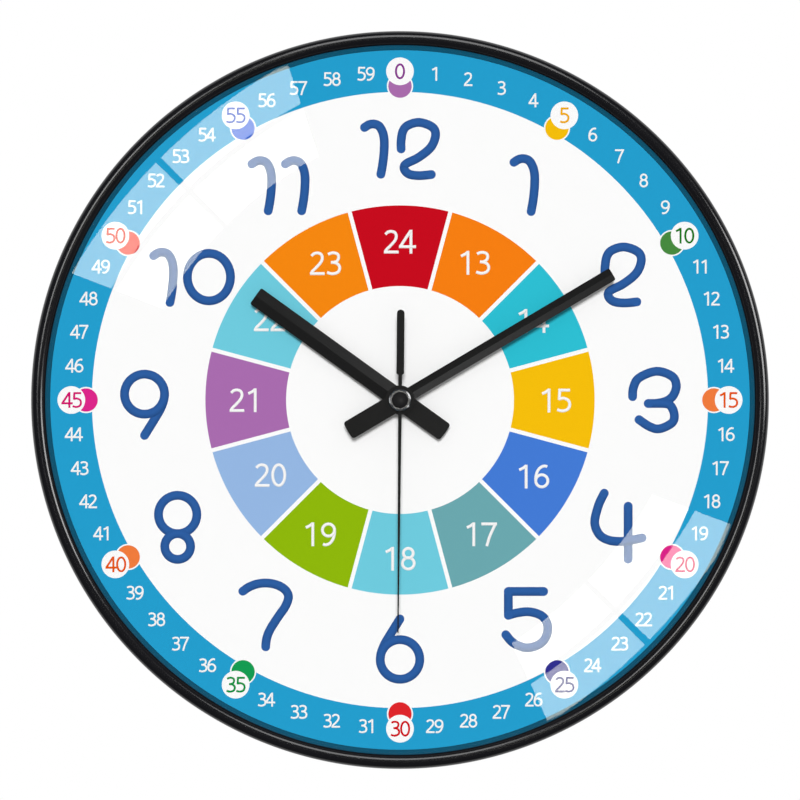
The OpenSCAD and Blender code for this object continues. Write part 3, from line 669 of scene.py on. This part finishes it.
# Small figures, as strokes in a cell one high
SMALL = {
    "0": [loop(0.345, 0.5, 0.256, 0.44, 24)],
    "1": [line((0.125, 0.78), (0.3, 0.865), (0.4, 0.95)), line((0.414, 1.0), (0.414, 0.0))],
    "2": [flow((0.1, 0.81), (0.21, 0.905), (0.35, 0.933), (0.5, 0.88), (0.558, 0.73), (0.5, 0.55),
               (0.31, 0.33), (0.14, 0.16), (0.09, 0.03)),
          line((0.04, 0.065), (0.656, 0.065))],
    "3": [flow((0.1, 0.875), (0.22, 0.925), (0.35, 0.938), (0.5, 0.885), (0.545, 0.75), (0.49, 0.61),
               (0.36, 0.545), (0.22, 0.54)),
          flow((0.22, 0.54), (0.42, 0.515), (0.55, 0.42), (0.588, 0.285), (0.52, 0.13), (0.33, 0.062),
               (0.19, 0.072), (0.06, 0.115))],
    "4": [line((0.474, 1.0), (0.474, 0.0)),
          line((0.455, 0.95), (0.03, 0.3)),
          line((-0.03, 0.29), (0.688, 0.29))],
    "5": [line((0.11, 0.935), (0.6, 0.935)),
          line((0.165, 0.95), (0.145, 0.53)),
          flow((0.12, 0.55), (0.24, 0.59), (0.36, 0.588), (0.53, 0.5), (0.586, 0.33), (0.52, 0.15),
               (0.36, 0.07), (0.2, 0.068), (0.06, 0.115))],
    "6": [flow((0.605, 0.915), (0.48, 0.945), (0.31, 0.875), (0.18, 0.7), (0.118, 0.46), (0.12, 0.32)),
          loop(0.372, 0.321, 0.256, 0.256, 24)],
    "7": [line((0.037, 0.935), (0.69, 0.935)),
          flow((0.62, 0.93), (0.5, 0.67), (0.37, 0.37), (0.26, 0.0))],
    "8": [loop(0.372, 0.735, 0.207, 0.205, 24), loop(0.372, 0.305, 0.25, 0.24, 24)],
}
SMALL["9"] = [([(0.745 - x, 1.0 - y) for x, y in points], closed) for points, closed in SMALL["6"]]


def small_number(text, height, pitch, centre):
    """Strokes of a number of that height, with its figures one pitch apart and its middle at centre."""
    strokes = [([(x + i * pitch, y) for x, y in points], closed)
               for i, digit in enumerate(text) for points, closed in SMALL[digit]]
    xs = [x for points, closed in strokes for x, y in points]
    middle = (min(xs) + max(xs)) / 2
    cx, cy = centre
    return [([(cx + (x - middle) * height, cy + (y - 0.5) * height) for x, y in points], closed)
            for points, closed in strokes]


# Hour numerals, as strokes in millimetres about the middle of each figure
NUMERALS = {
    "0": [loop(0, 0, 8.9, 9.8, 45)],
    "1": [flow((-4.25, 9.3), (-2.3, 10.5), (-0.15, 10.8), (2.0, 9.95), (3.4, 7.8), (4.15, 5.1),
               (4.35, 2.0), (4.1, -2.7), (3.55, -7.2), (2.85, -11.0))],
    "2": [flow((-7.4, 0), (-7.45, 2.9), (-6.75, 7.35), (-4.65, 10.1), (0.45, 11.5), (6.1, 9.5),
               (7.55, 5.9), (5.5, 0.7), (0.1, -3.75), (-5.25, -6.5), (-6.05, -8.8), (-3.85, -11.0),
               (0.6, -11.6), (5.7, -11.15))],
    "3": [flow((-9.05, 1.4), (-8.7, 5.1), (-6.4, 9.1), (0.75, 11.85), (7.2, 9.8), (9.0, 6.0),
               (7.8, 2.0), (5.25, -0.25), (1.4, -1.3), (-2.6, -1.45)),
          flow((-2.6, -1.45), (4.3, -1.5), (6.75, -2.5), (8.15, -6.05), (7.2, -9.45), (2.0, -11.9),
               (-2.15, -10.9), (-6.4, -8.1))],
    "4": [flow((-5.8, 13.55), (-8.15, 8.6), (-9.75, 1.5), (-7.9, -3.45), (-4.35, -5.7), (-0.1, -6.35),
               (4.1, -6.05), (9.8, -4.9)),
          line((4.05, 8.15), (4.05, -13.65))],
    "5": [line((-7.6, 11.6), (6.95, 11.6)),
          line((-7.6, 11.6), (-7.6, 1.75)),
          flow((-7.6, 1.75), (-4.25, 2.7), (0.35, 3.25), (4.8, 2.25), (7.55, 0.15), (8.7, -3.65),
               (7.55, -7.85), (4.6, -10.55), (0.15, -11.65), (-3.4, -10.75), (-6.35, -9.0),
               (-8.65, -6.25))],
    "6": [loop(0, -4.33, 8.17, 8.17, 45),
          flow((-0.04, 12.37), (-5.37, 3.72), (-6.95, 0.7), (-7.85, -1.9), (-8.17, -4.33))],
    "7": [flow((-9.45, 9.75), (-7.2, 11.3), (-4.76, 12.36), (-2.33, 12.95), (0.1, 13.1), (2.75, 12.84),
               (5.18, 12.11), (7.39, 10.85), (8.72, 9.42), (9.34, 7.76), (9.16, 6.1), (8.5, 4.33),
               (7.39, 2.34), (5.85, 0.24), (4.08, -2.41), (2.31, -5.17), (1.09, -7.6), (0.32, -10.03),
               (0, -12.47), (-0.03, -13.17))],
    "8": [loop(0, 5.28, 7.92, 7.92, 45), loop(0, -7.91, 5.32, 5.32, 36)],
    "9": [loop(0, 4.43, 8.26, 8.26, 45),
          flow((0, -12.57), (5.43, -3.76), (7.0, -0.68), (7.93, 1.97), (8.26, 4.43))],
}
# Each numeral's place as (radius, degrees from twelve), and its figures as (digit, x offset, size)
HOURS = (
    ((102.5, 30), [("1", 0, 1)]), ((105.5, 60.7), [("2", 0, 1)]), ((105.0, 90), [("3", 0, 1)]),
    ((104.0, 120), [("4", 0, 1)]), ((104.6, 150), [("5", 0, 1)]), ((102.7, 180), [("6", 0, 1)]),
    ((104.5, 212), [("7", 0, 1)]), ((105.7, 240.2), [("8", 0, 1)]), ((105.4, 268.9), [("9", 0, 1)]),
    ((99.6, 300.6), [("1", -11.9, 0.95), ("0", 6.9, 1)]),
    ((101.7, 330.5), [("1", -7.0, 0.95), ("1", 6.8, 0.95)]),
    ((103.6, 0), [("1", -10.6, 0.95), ("2", 7.5, 0.95)]),
)
# Distance between two figures of a number, in heights of a figure
PITCH = {"minute": 0.6, "marker": 0.625, "sector": 0.7}

# Five-minute markers, clockwise from twelve, as (spot, figure)
MARKERS = [
    ("A769AA", "8A3391"), ("F2BC00", "F6AE00"), ("45883D", "1A7A1A"), ("EE7A3B", "EB5505"),
    ("DA1F86", "D3006E"), ("2F2D8D", "1F1D86"), ("DD2127", "D7000F"), ("0C9A50", "009240"),
    ("EE7A3B", "EB5505"), ("DA2288", "D7006F"), ("DD2127", "D7000F"), ("1F5FD0", "1450C4"),
]
# Afternoon sectors, clockwise from twelve, starting with 24
SECTORS = ["C50018", "F57D08", "2ABED2", "F4BD00", "4179D4", "69A6AD", "6DCADD", "8DB600", "93B5E1",
           "A76AAD", "6DCADD", "F48606"]
# Middles of the sectors' figures
SECTOR_PLACES = [(0, 65.3), (30.9, 56.6), (55.3, 32.6), (64.4, -0.2), (55.1, -31.6), (33.8, -55.4),
                 (0, -65.5), (-32.9, -55.4), (-53.7, -31.0), (-65.0, -0.1), (-53.8, 33.2), (-31.0, 56.4)]
WHITE = ink("F9F9F9")

# Mouldings: name, colour, roughness, depth and scale of the grain, and the specular level where it differs
MOULDINGS = {
    "movement": ("movement_satin", (0.018, 0.018, 0.02, 1), 0.42, 0.3, 1500.0),
    "knob": ("knob_satin", (0.03, 0.03, 0.033, 1), 0.45, 0.3, 1700.0),
    "rubber": ("gasket_rubber", (0.022, 0.022, 0.022, 1), 0.82, 0.4, 1200.0, 0.3),
    "acetal": ("acetal_natural", (0.83, 0.8, 0.71, 1), 0.36, 0.12, 1600.0),
    "bobbin": ("bobbin_cream", (0.69, 0.66, 0.56, 1), 0.4, 0.15, 1500.0),
    "resin": ("chip_resin", (0.006, 0.006, 0.006, 1), 0.22, 0.1, 900.0),
    "magnet": ("magnet_sinter", (0.07, 0.073, 0.08, 1), 0.5, 0.6, 2400.0),
}
# Metals: name, colour, roughness, and where they differ the stretch of the drawn lines and their relief
METALS = {
    "zinc": ("zinc_plate", (0.62, 0.63, 0.65, 1), 0.34),
    "sheet": ("hanger_sheet", (0.6, 0.62, 0.64, 1), 0.36, (0.05, 1, 1)),
    "stator": ("stator_sheet", (0.46, 0.47, 0.49, 1), 0.4, (0.05, 1, 1)),
    "brass": ("turned_brass", (0.72, 0.5, 0.2, 1), 0.3),
    "nickel": ("nickel_plate", (0.66, 0.65, 0.63, 1), 0.22),
    "ring": ("ring_bright", (0.7, 0.7, 0.71, 1), 0.22, EVEN, 0.004),
    "can": ("tinned_can", (0.7, 0.71, 0.73, 1), 0.28, (0.1, 1, 1)),
}
HANDS = ("hour_hand", "minute_hand", "second_hand")
# Finishes of the movement's pieces
MOVEMENT = {
    "movement": ["movement_front_case", "movement_rear_case"],
    "knob": ["setting_knob"],
    "rubber": ["stem_gasket"],
    "brass": ["stem_washer", "stem_nut", "centre_wheel", "cannon_pinion"],
    "acetal": ["intermediate_wheel", "second_wheel", "third_wheel", "minute_wheel", "hour_wheel",
               "rotor_pinion", "train_plate"],
    "stator": ["stator", "coil_core"],
    "magnet": ["rotor_magnet"],
    "bobbin": ["coil_bobbin"],
    "copper": ["coil_winding"],
    "board": ["circuit_board"],
    "can": ["quartz_crystal"],
    "resin": ["chip"],
    "nickel": ["contact_plus", "contact_minus", "clutch_spring"],
    "jacket": ["battery"],
}

# Lamps, as (name, place, width, height, brightness, the group of pieces that they light)
LAMPS = (
    ("softbox_above", (0.06, -0.95, 0.7), 0.62, 0.5, 4.6, "lit_rim"),
    ("right_window", (0.94, -0.9, 0.22), 0.5, 0.5, 11.0, "lit_rim"),
    ("left_window", (-0.44, -1.5, 0.27), 0.4, 0.46, 6.5, "lit_rim"),
    ("hand_light", (0.3, -1.5, -0.08), 0.2, 1.05, 2.2, "lit_hands"),
    ("ring_light_above", (0.44, -0.06, 0.23), 0.1, 0.36, 7.0, "lit_ring"),
    ("ring_light_below", (0.4, -0.06, -0.3), 0.1, 0.12, 6.0, "lit_ring"),
    ("ring_light_left", (-0.5, -0.06, 0.0), 0.1, 0.24, 3.5, "lit_ring"),
)
LAMP_AIM = Vector((0, -0.03, 0))
# Width of the suns in degrees
SUN_SPREAD = 14
# Windows that the lens mirrors, as (name, direction of the middle in degrees from three o'clock, reach to
# either side in degrees, and each row of panes by its radii on the lens in millimetres)
WINDOWS = (
    ("window_upper", 135.2, (-26.7, 23.7), ((100.467, 119.585), (122.025, 138.62))),
    ("window_lower", -44.4, (-20.9, 23.8), ((106.162, 121.618), (124.059, 140.939))),
)
# Bar between two panes in degrees, how much the panes bow outwards, and how far before the lens they stand
WINDOW_BAR = 1.2
WINDOW_BOW = 0.4
WINDOW_DISTANCE = 1.4
FLOOR_HALF = 0.8

# Fineness of the meshes
CROWN_STEPS = 40
RIM_STEPS = 360
TRACK_STEPS = 240
DISC_SIDES = 72
SECTOR_STEPS = 24
PANE_STEPS = 14
# Angle below which the bezel's faces are shaded as one, and the angles of an hour and a minute on the dial
SMOOTH_BELOW = 35
HOUR_ANGLE = 30
MINUTE_ANGLE = 6
# Play of the lens in the bezel, and the bezel's draft towards the wall, in millimetres
LENS_PLAY = 0.2
DRAFT = 0.4

MATERIALS = {}
TREES = {}


# Settings


def length(name, description, default):
    """A setting that is a length in metres."""
    return FloatProperty(name=name, description=description, default=default, unit="LENGTH")


def colour_choice(name, description, default):
    """A setting that is a colour."""
    return FloatVectorProperty(
        name=name, description=description, default=default, size=4, subtype="COLOR")


def brightness(name, description, default):
    """A setting that is an amount of light."""
    return FloatProperty(name=name, description=description, default=default, min=0)


class ClockSizes(bpy.types.PropertyGroup):
    """Sizes of the print and of the pieces made here."""

    track_inner: length("Minute track inside", "Inner radius of the blue minute track", 0.1271)
    track_outer: length("Minute track outside", "Outer radius of the blue minute track", 0.14432)
    minute_ring: length("Minute figures", "Radius on which the minute figures stand", 0.1353)
    minute_height: length("Minute figure height", "Height of a minute figure", 0.0057)
    minute_stroke: length("Minute figure stroke", "Width of its line", 0.00077)
    plate_ring: length("Marker plates", "Radius of the circle on which the white plates lie", 0.1356)
    plate_radius: length("Marker plate", "Radius of a white plate", 0.00571)
    spot_ring: length("Marker spots", "Radius of the circle on which the coloured spots lie", 0.1295)
    spot_radius: length("Marker spot", "Radius of a coloured spot", 0.00483)
    spot_outline: length("Marker outline", "Radius of the white outline of a spot", 0.0054)
    marker_height: length("Marker figure height", "Height of a marker's figure", 0.0065)
    marker_stroke: length("Marker figure stroke", "Width of its line", 0.00085)
    sector_inner: length("Sector inside", "Inner radius of the afternoon sectors", 0.047)
    sector_outer: length("Sector outside", "Outer radius of the afternoon sectors", 0.0803)
    sector_gap: length("Sector gap", "White gap between two sectors", 0.00165)
    sector_height: length("Sector figure height", "Height of a sector's figure", 0.0098)
    sector_stroke: length("Sector figure stroke", "Width of its line", 0.0012)
    numeral_stroke: length("Numeral stroke", "Width of an hour numeral's line", 0.00368)
    crown_radius: length("Bezel crown", "Radius of the bezel's half-round crown", 0.003)


class ClockColours(bpy.types.PropertyGroup):
    """Colours of the main finishes."""

    bezel: colour_choice("Bezel", "Colour of the polished bezel", (0.0078, 0.0078, 0.0094, 1))
    paper: colour_choice("Dial", "Colour of the dial sheet", (0.95, 0.95, 0.95, 1))
    case: colour_choice("Case", "Colour of the moulded case", (0.014, 0.014, 0.016, 1))
    hands: colour_choice("Hands", "Colour of the hands' paint", (0.0102, 0.0102, 0.0104, 1))
    track: colour_choice("Minute track", "Colour of the minute track", ink("1F9CCC"))
    numerals: colour_choice("Hour numerals", "Colour of the hour numerals", ink("2B5CA0"))


class ClockStage(bpy.types.PropertyGroup):
    """Stage and light."""

    ambient: brightness("Ambient light", "Even light from all sides", 0.335)
    key: brightness("Key light", "Even light from the front", 0.8)
    fill: brightness("Fill light", "Light from behind, for the back", 0.6)
    room: brightness("Room brightness", "Brightness of the dim room that the lens and rim reflect", 0.02)
    windows: brightness("Window brightness", "Brightness of the two windows that the lens reflects", 3.9)
    camera_distance: length("Camera distance", "From the wall to the camera", 1.123)
    camera_lens: FloatProperty(
        name="Camera lens", description="Focal length in millimetres", default=120.0, unit="CAMERA")
    floor_drop: length("Floor", "How far below the hand axis the floor lies", 0.3)


# Operators


class CLOCK_OT_prepare(bpy.types.Operator):
    """Make the finishes and the node trees that the other steps share"""

    bl_idname = "clock.prepare"
    bl_label = "Finishes and trees"

    def execute(self, context):
        c = colours()
        MATERIALS.update({key: moulded(*row) for key, row in MOULDINGS.items()})
        MATERIALS.update({key: metal(*row) for key, row in METALS.items()})
        MATERIALS.update({
            "ink": printed_ink("printed_ink"),
            "paper": dial_paper("dial_paper", c.paper),
            "bezel": polished("bezel_gloss", c.bezel, 0.15, 0.5, CROWN_TOP - sizes().crown_radius),
            "glass": clear_pane("lens_glass", (0.985, 0.995, 0.99, 1)),
            "case": case_moulding("case_grain", c.case),
            "hand": painted_hand("hand_paint", c.hands, 0.22),
            "cap": polished("cap_gloss", (0.0145, 0.0145, 0.015, 1), 0.35, 0.4),
            "copper": wound_wire("winding_wire", (0.5, 0.16, 0.05, 1)),
            "board": board_mask("board_mask", (0.026, 0.147, 0.05, 1)),
            "jacket": battery_jacket(
                "battery_jacket", (0.03, 0.034, 0.04, 1), (0.55, 0.3, 0.08, 1), (0.6, 0.61, 0.62, 1)),
        })
        TREES.update({"strokes": stroke_tree(), "copies": copies_tree(), "revolve": revolve_tree()})
        return {"FINISHED"}


class CLOCK_OT_bezel(bpy.types.Operator):
    """Turn the bezel's section round the hand axis"""

    bl_idname = "clock.bezel"
    bl_label = "Bezel"

    def execute(self, context):
        crown, rim = sizes().crown_radius, RIM_RADIUS
        low = -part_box("front_bezel")[1].y
        lens_low, lens_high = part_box("lens")
        bore, lip_level = lens_high.x + LENS_PLAY * MM, -lens_low.y
        # The section is drawn about the middle of the crown, where the path runs; its second axis is depth
        path = rim - crown
        angles = [math.pi * i / CROWN_STEPS for i in range(CROWN_STEPS + 1)]
        half = [(path + crown * math.cos(a), CROWN_TOP - crown + crown * math.sin(a)) for a in angles]
        section = [(bore, low), (rim - DRAFT * MM, low), (rim, lip_level)] + half
        section += [(rim - 2 * crown, lip_level), (bore, lip_level)]
        sides = [(i, (i + 1) % len(section)) for i in range(len(section))]
        mesh = mesh_from("bezel", [(r - path, -z, 0) for r, z in section], (), sides)
        obj = grown("bezel", mesh, TREES["revolve"], {
            "Radius": path, "Steps": RIM_STEPS, "Material": MATERIALS["bezel"]}, SMOOTH_BELOW)
        hang(obj.data, 0)
        lets_light_past(obj)
        seat(obj, ("front_bezel",))
        return {"FINISHED"}


class CLOCK_OT_lens(bpy.types.Operator):
    """Glaze the lens, and let light through to the dial"""

    bl_idname = "clock.lens"
    bl_label = "Lens"

    def execute(self, context):
        coat("lens", MATERIALS["glass"])
        only_seen(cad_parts["lens"])
        return {"FINISHED"}


class CLOCK_OT_minute_track(bpy.types.Operator):
    """Print the dial sheet, the minute track and its figures"""

    bl_idname = "clock.minute_track"
    bl_label = "Minute track"

    def execute(self, context):
        coat("dial_sheet", MATERIALS["paper"])
        # Rim and hands don't mirror the white sheet
        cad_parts["dial_sheet"].visible_glossy = False
        s, n = sizes(), TRACK_STEPS
        bottom, top = -SINK * MM, LAYERS["ground"] * MM
        verts, faces = [], []
        inner, outer = s.track_inner, s.track_outer
        for r, z in ((inner, bottom), (outer, bottom), (outer, top), (inner, top)):
            verts += [(x, y, z) for x, y in ellipse(0, 0, r, r, n)]
        for k in range(4):
            a, b = k * n, (k + 1) % 4 * n
            faces += [(a + i, a + (i + 1) % n, b + (i + 1) % n, b + i) for i in range(n)]
        mesh = mesh_from("minute_track", verts, faces)
        give_ink(mesh, [colours().track] * len(verts))
        hang(mesh, DIAL_FACE)
        tidy_mesh(mesh)
        mesh.materials.append(MATERIALS["ink"])
        seat(new_object("minute_track", mesh))
        strokes = []
        for minute in range(60):
            if minute % 5:
                centre = turned((0, s.minute_ring / MM), minute * MINUTE_ANGLE)
                strokes += small_number(str(minute), s.minute_height / MM, PITCH["minute"], centre)
        printed_strokes("minute_figures", strokes, s.minute_stroke, [WHITE] * len(strokes))
        return {"FINISHED"}


class CLOCK_OT_markers(bpy.types.Operator):
    """Print the twelve five-minute markers"""

    bl_idname = "clock.markers"
    bl_label = "Five-minute markers"

    def execute(self, context):
        s = sizes()
        white = [WHITE] * len(MARKERS)
        spots = [ink(spot) for spot, figure in MARKERS]
        discs = (("marker_outlines", s.spot_ring, s.spot_outline, "outline", white),
                 ("marker_spots", s.spot_ring, s.spot_radius, "spot", spots),
                 ("marker_plates", s.plate_ring, s.plate_radius, "plate", white))
        for name, ring, radius, layer, inks in discs:
            outline = ellipse(0, ring / MM, radius / MM, radius / MM, DISC_SIDES)
            printed_copies(name, outline, layer, inks)
        strokes, inks = [], []
        for i, (spot, figure) in enumerate(MARKERS):
            centre = turned((0, s.plate_ring / MM), HOUR_ANGLE * i)
            made = small_number(str(5 * i), s.marker_height / MM, PITCH["marker"], centre)
            strokes += made
            inks += [ink(figure)] * len(made)
        printed_strokes("marker_figures", strokes, s.marker_stroke, inks)
        return {"FINISHED"}


class CLOCK_OT_sectors(bpy.types.Operator):
    """Print the twelve afternoon sectors and their figures"""

    bl_idname = "clock.sectors"
    bl_label = "Afternoon sectors"

    def execute(self, context):
        s = sizes()
        outline = []
        for r, order in ((s.sector_outer, 1), (s.sector_inner, -1)):
            edge = HOUR_ANGLE / 2 - math.degrees(math.asin(s.sector_gap / 2 / r))
            outline += [turned((0, r / MM), order * edge * (2 * i / SECTOR_STEPS - 1))
                        for i in range(SECTOR_STEPS + 1)]
        printed_copies("day_sectors", outline, "ground", [ink(code) for code in SECTORS])
        strokes = []
        for i, place in enumerate(SECTOR_PLACES):
            strokes += small_number(str(12 + i if i else 24), s.sector_height / MM, PITCH["sector"], place)
        printed_strokes("sector_figures", strokes, s.sector_stroke, [WHITE] * len(strokes))
        return {"FINISHED"}


class CLOCK_OT_numerals(bpy.types.Operator):
    """Print the twelve hour numerals"""

    bl_idname = "clock.numerals"
    bl_label = "Hour numerals"

    def execute(self, context):
        strokes = []
        for (radius, degrees), figures in HOURS:
            cx, cy = turned((0, radius), degrees)
            for digit, offset, size in figures:
                strokes += [([(cx + offset + x * size, cy + y * size) for x, y in points], closed)
                            for points, closed in NUMERALS[digit]]
        inks = [colours().numerals] * len(strokes)
        printed_strokes("hour_numerals", strokes, sizes().numeral_stroke, inks, True)
        return {"FINISHED"}


class CLOCK_OT_hands(bpy.types.Operator):
    """Paint the hands and finish their nut, ring and cap"""

    bl_idname = "clock.hands"
    bl_label = "Hands"

    def execute(self, context):
        for node in HANDS:
            coat(node, MATERIALS["hand"])
        coat("hand_nut", MATERIALS["nickel"])
        coat("cap_ring", MATERIALS["ring"])
        coat("second_cap", MATERIALS["cap"])
        return {"FINISHED"}


class CLOCK_OT_case(bpy.types.Operator):
    """Finish the back of the case and the hanger"""

    bl_idname = "clock.case"
    bl_label = "Case"

    def execute(self, context):
        coat("back_plate", MATERIALS["case"])
        lets_light_past(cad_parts["back_plate"])
        coat("hanger_plate", MATERIALS["sheet"])
        coat("case_screws", MATERIALS["zinc"])
        coat("hanger_screws", MATERIALS["zinc"])
        return {"FINISHED"}


class CLOCK_OT_movement(bpy.types.Operator):
    """Finish the movement, its train and its battery"""

    bl_idname = "clock.movement"
    bl_label = "Movement"

    def execute(self, context):
        for finish, nodes in MOVEMENT.items():
            for node in nodes:
                coat(node, MATERIALS[finish])
        return {"FINISHED"}


class CLOCK_OT_stage(bpy.types.Operator):
    """Set the floor, the light, the windows that the lens reflects and the camera"""

    bl_idname = "clock.stage"
    bl_label = "Stage"

    def execute(self, context):
        self.floor()
        self.world()
        self.suns()
        self.lamps()
        self.windows()
        self.camera()
        context.scene.view_settings.view_transform = "Standard"
        return {"FINISHED"}

    def floor(self):
        half, z = FLOOR_HALF, -stage_settings().floor_drop
        corners = [(-half, -half, z), (half, -half, z), (half, half, z), (-half, half, z)]
        mesh = mesh_from("floor", corners, [(0, 1, 2, 3)])
        material, f = new_finish("pale_floor")
        pale = f.mix(f.noise(30.0), (0.9, 0.9, 0.9, 1), (0.94, 0.94, 0.94, 1))
        f.surface({"Base Color": pale, "Roughness": 0.9})
        mesh.materials.append(material)
        floor = new_object("floor", mesh)
        floor.visible_glossy = False
        floor.visible_diffuse = False

    def world(self):
        """White where the camera looks, a dim room behind it for what is glossy, even light for the rest."""
        s = stage_settings()
        world = bpy.data.worlds.new("white_studio")
        world.use_nodes = True
        bpy.context.scene.world = world
        f = Finish(world.node_tree)
        ray = f.node("ShaderNodeLightPath")
        seen = ray["Is Camera Ray"].most(ray["Is Transmission Ray"])
        toward = f.node("ShaderNodeSeparateXYZ", {}, {0: f.node("ShaderNodeTexCoord")["Generated"]})["Y"]
        behind = (toward * 2.5 + 0.5).clamped()
        mirrored = s.room + (1.0 - s.room) * behind
        level = ray["Is Glossy Ray"] * mirrored + (1.0 - ray["Is Glossy Ray"]) * s.ambient
        level = seen + (1.0 - seen) * level
        light = f.node("ShaderNodeBackground", {}, {"Color": (1, 1, 1, 1), "Strength": level})[0]
        f.node("ShaderNodeOutputWorld", {}, {"Surface": light})

    def suns(self):
        """A key light from the front and a fill light from behind, which nothing glossy mirrors."""
        s = stage_settings()
        for name, strength, tilt, turn in (("key", s.key, 75, 0), ("fill_behind", s.fill, 60, 160)):
            sun = bpy.data.lights.new(name, "SUN")
            sun.energy = strength * math.pi
            sun.angle = math.radians(SUN_SPREAD)
            obj = new_object(name, sun)
            obj.rotation_euler = (math.radians(tilt), 0, math.radians(turn))
            obj.visible_glossy = False

    def lamps(self):
        """Lamps that only put streaks on the rim, the hands and the ring round their cap."""
        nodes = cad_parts
        groups = {
            "lit_hands": [nodes[name] for name in HANDS + ("cap_ring", "second_cap")],
            "lit_rim": [bpy.data.objects["bezel"]],
            "lit_ring": [nodes["cap_ring"]],
        }
        lit = {group: bpy.data.collections.new(group) for group in groups}
        for group, pieces in groups.items():
            for piece in pieces:
                lit[group].objects.link(piece)
        for name, place, width, height, bright, group in LAMPS:
            lamp = bpy.data.lights.new(name, "AREA")
            lamp.shape = "RECTANGLE"
            lamp.size, lamp.size_y = width, height
            lamp.energy = bright * width * height * math.pi
            obj = new_object(name, lamp)
            obj.location = place
            obj.rotation_euler = (LAMP_AIM - Vector(place)).to_track_quat("-Z", "Y").to_euler()
            obj.visible_diffuse = False
            obj.light_linking.receiver_collection = lit[group]

    def windows(self):
        """Panes behind the camera, shaped so that the flat lens shows two windows of four panes."""
        s = stage_settings()
        lens_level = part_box("lens")[0].y
        level = lens_level - WINDOW_DISTANCE
        throw = 1 + WINDOW_DISTANCE / (s.camera_distance + lens_level)
        material, f = new_finish("window_light")
        glow = f.node("ShaderNodeEmission", {}, {"Color": (1, 1, 0.84, 1), "Strength": s.windows})[0]
        f.node("ShaderNodeOutputMaterial", {}, {"Surface": glow})
        for name, middle, (right, left), rows in WINDOWS:
            verts, faces = [], []
            for radii in rows:
                for start, end in ((right, -WINDOW_BAR / 2), (WINDOW_BAR / 2, left)):
                    first = len(verts)
                    for i in range(PANE_STEPS + 1):
                        aside = start + (end - start) * i / PANE_STEPS
                        bow = 1 + WINDOW_BOW * (1 - math.cos(math.radians(aside)))
                        at = math.radians(middle + aside)
                        for r in radii:
                            reach = r * MM * bow * throw
                            verts.append((reach * math.cos(at), level, reach * math.sin(at)))
                    faces += [(k, k + 1, k + 3, k + 2) for k in range(first, len(verts) - 2, 2)]
            mesh = mesh_from(name, verts, faces)
            mesh.materials.append(material)
            obj = new_object(name, mesh)
            obj.visible_camera = False
            obj.visible_shadow = False

    def camera(self):
        s = stage_settings()
        data = bpy.data.cameras.new("camera")
        data.lens = s.camera_lens
        obj = new_object("camera", data)
        obj.location = (0, -s.camera_distance, 0)
        obj.rotation_euler = (math.pi / 2, 0, 0)
        bpy.context.scene.camera = obj


class CLOCK_PT_panel(bpy.types.Panel):
    """Lists the steps and settings in the sidebar"""

    bl_idname = "CLOCK_PT_panel"
    bl_label = "Teaching clock"
    bl_space_type = "VIEW_3D"
    bl_region_type = "UI"
    bl_category = "Clock"

    def draw(self, context):
        for step in STEPS:
            self.layout.operator(step.bl_idname)
        for key, group in GROUPS.items():
            for name in group.__annotations__:
                self.layout.prop(getattr(context.scene, key), name)


STEPS = (CLOCK_OT_prepare, CLOCK_OT_bezel, CLOCK_OT_lens, CLOCK_OT_minute_track, CLOCK_OT_markers,
         CLOCK_OT_sectors, CLOCK_OT_numerals, CLOCK_OT_hands, CLOCK_OT_case, CLOCK_OT_movement,
         CLOCK_OT_stage)
GROUPS = {"clock_sizes": ClockSizes, "clock_colours": ClockColours, "clock_stage": ClockStage}


def register():
    for group in GROUPS.values():
        bpy.utils.register_class(group)
    for step in STEPS + (CLOCK_PT_panel,):
        bpy.utils.register_class(step)
    for name, group in GROUPS.items():
        setattr(bpy.types.Scene, name, PointerProperty(type=group))


def unregister():
    for name in GROUPS:
        delattr(bpy.types.Scene, name)
    for step in (CLOCK_PT_panel,) + STEPS:
        bpy.utils.unregister_class(step)
    for group in GROUPS.values():
        bpy.utils.unregister_class(group)


def main():
    register()
    for step in STEPS:
        area, name = step.bl_idname.split(".")
        getattr(getattr(bpy.ops, area), name)()


if __name__ == "__main__":
    main()
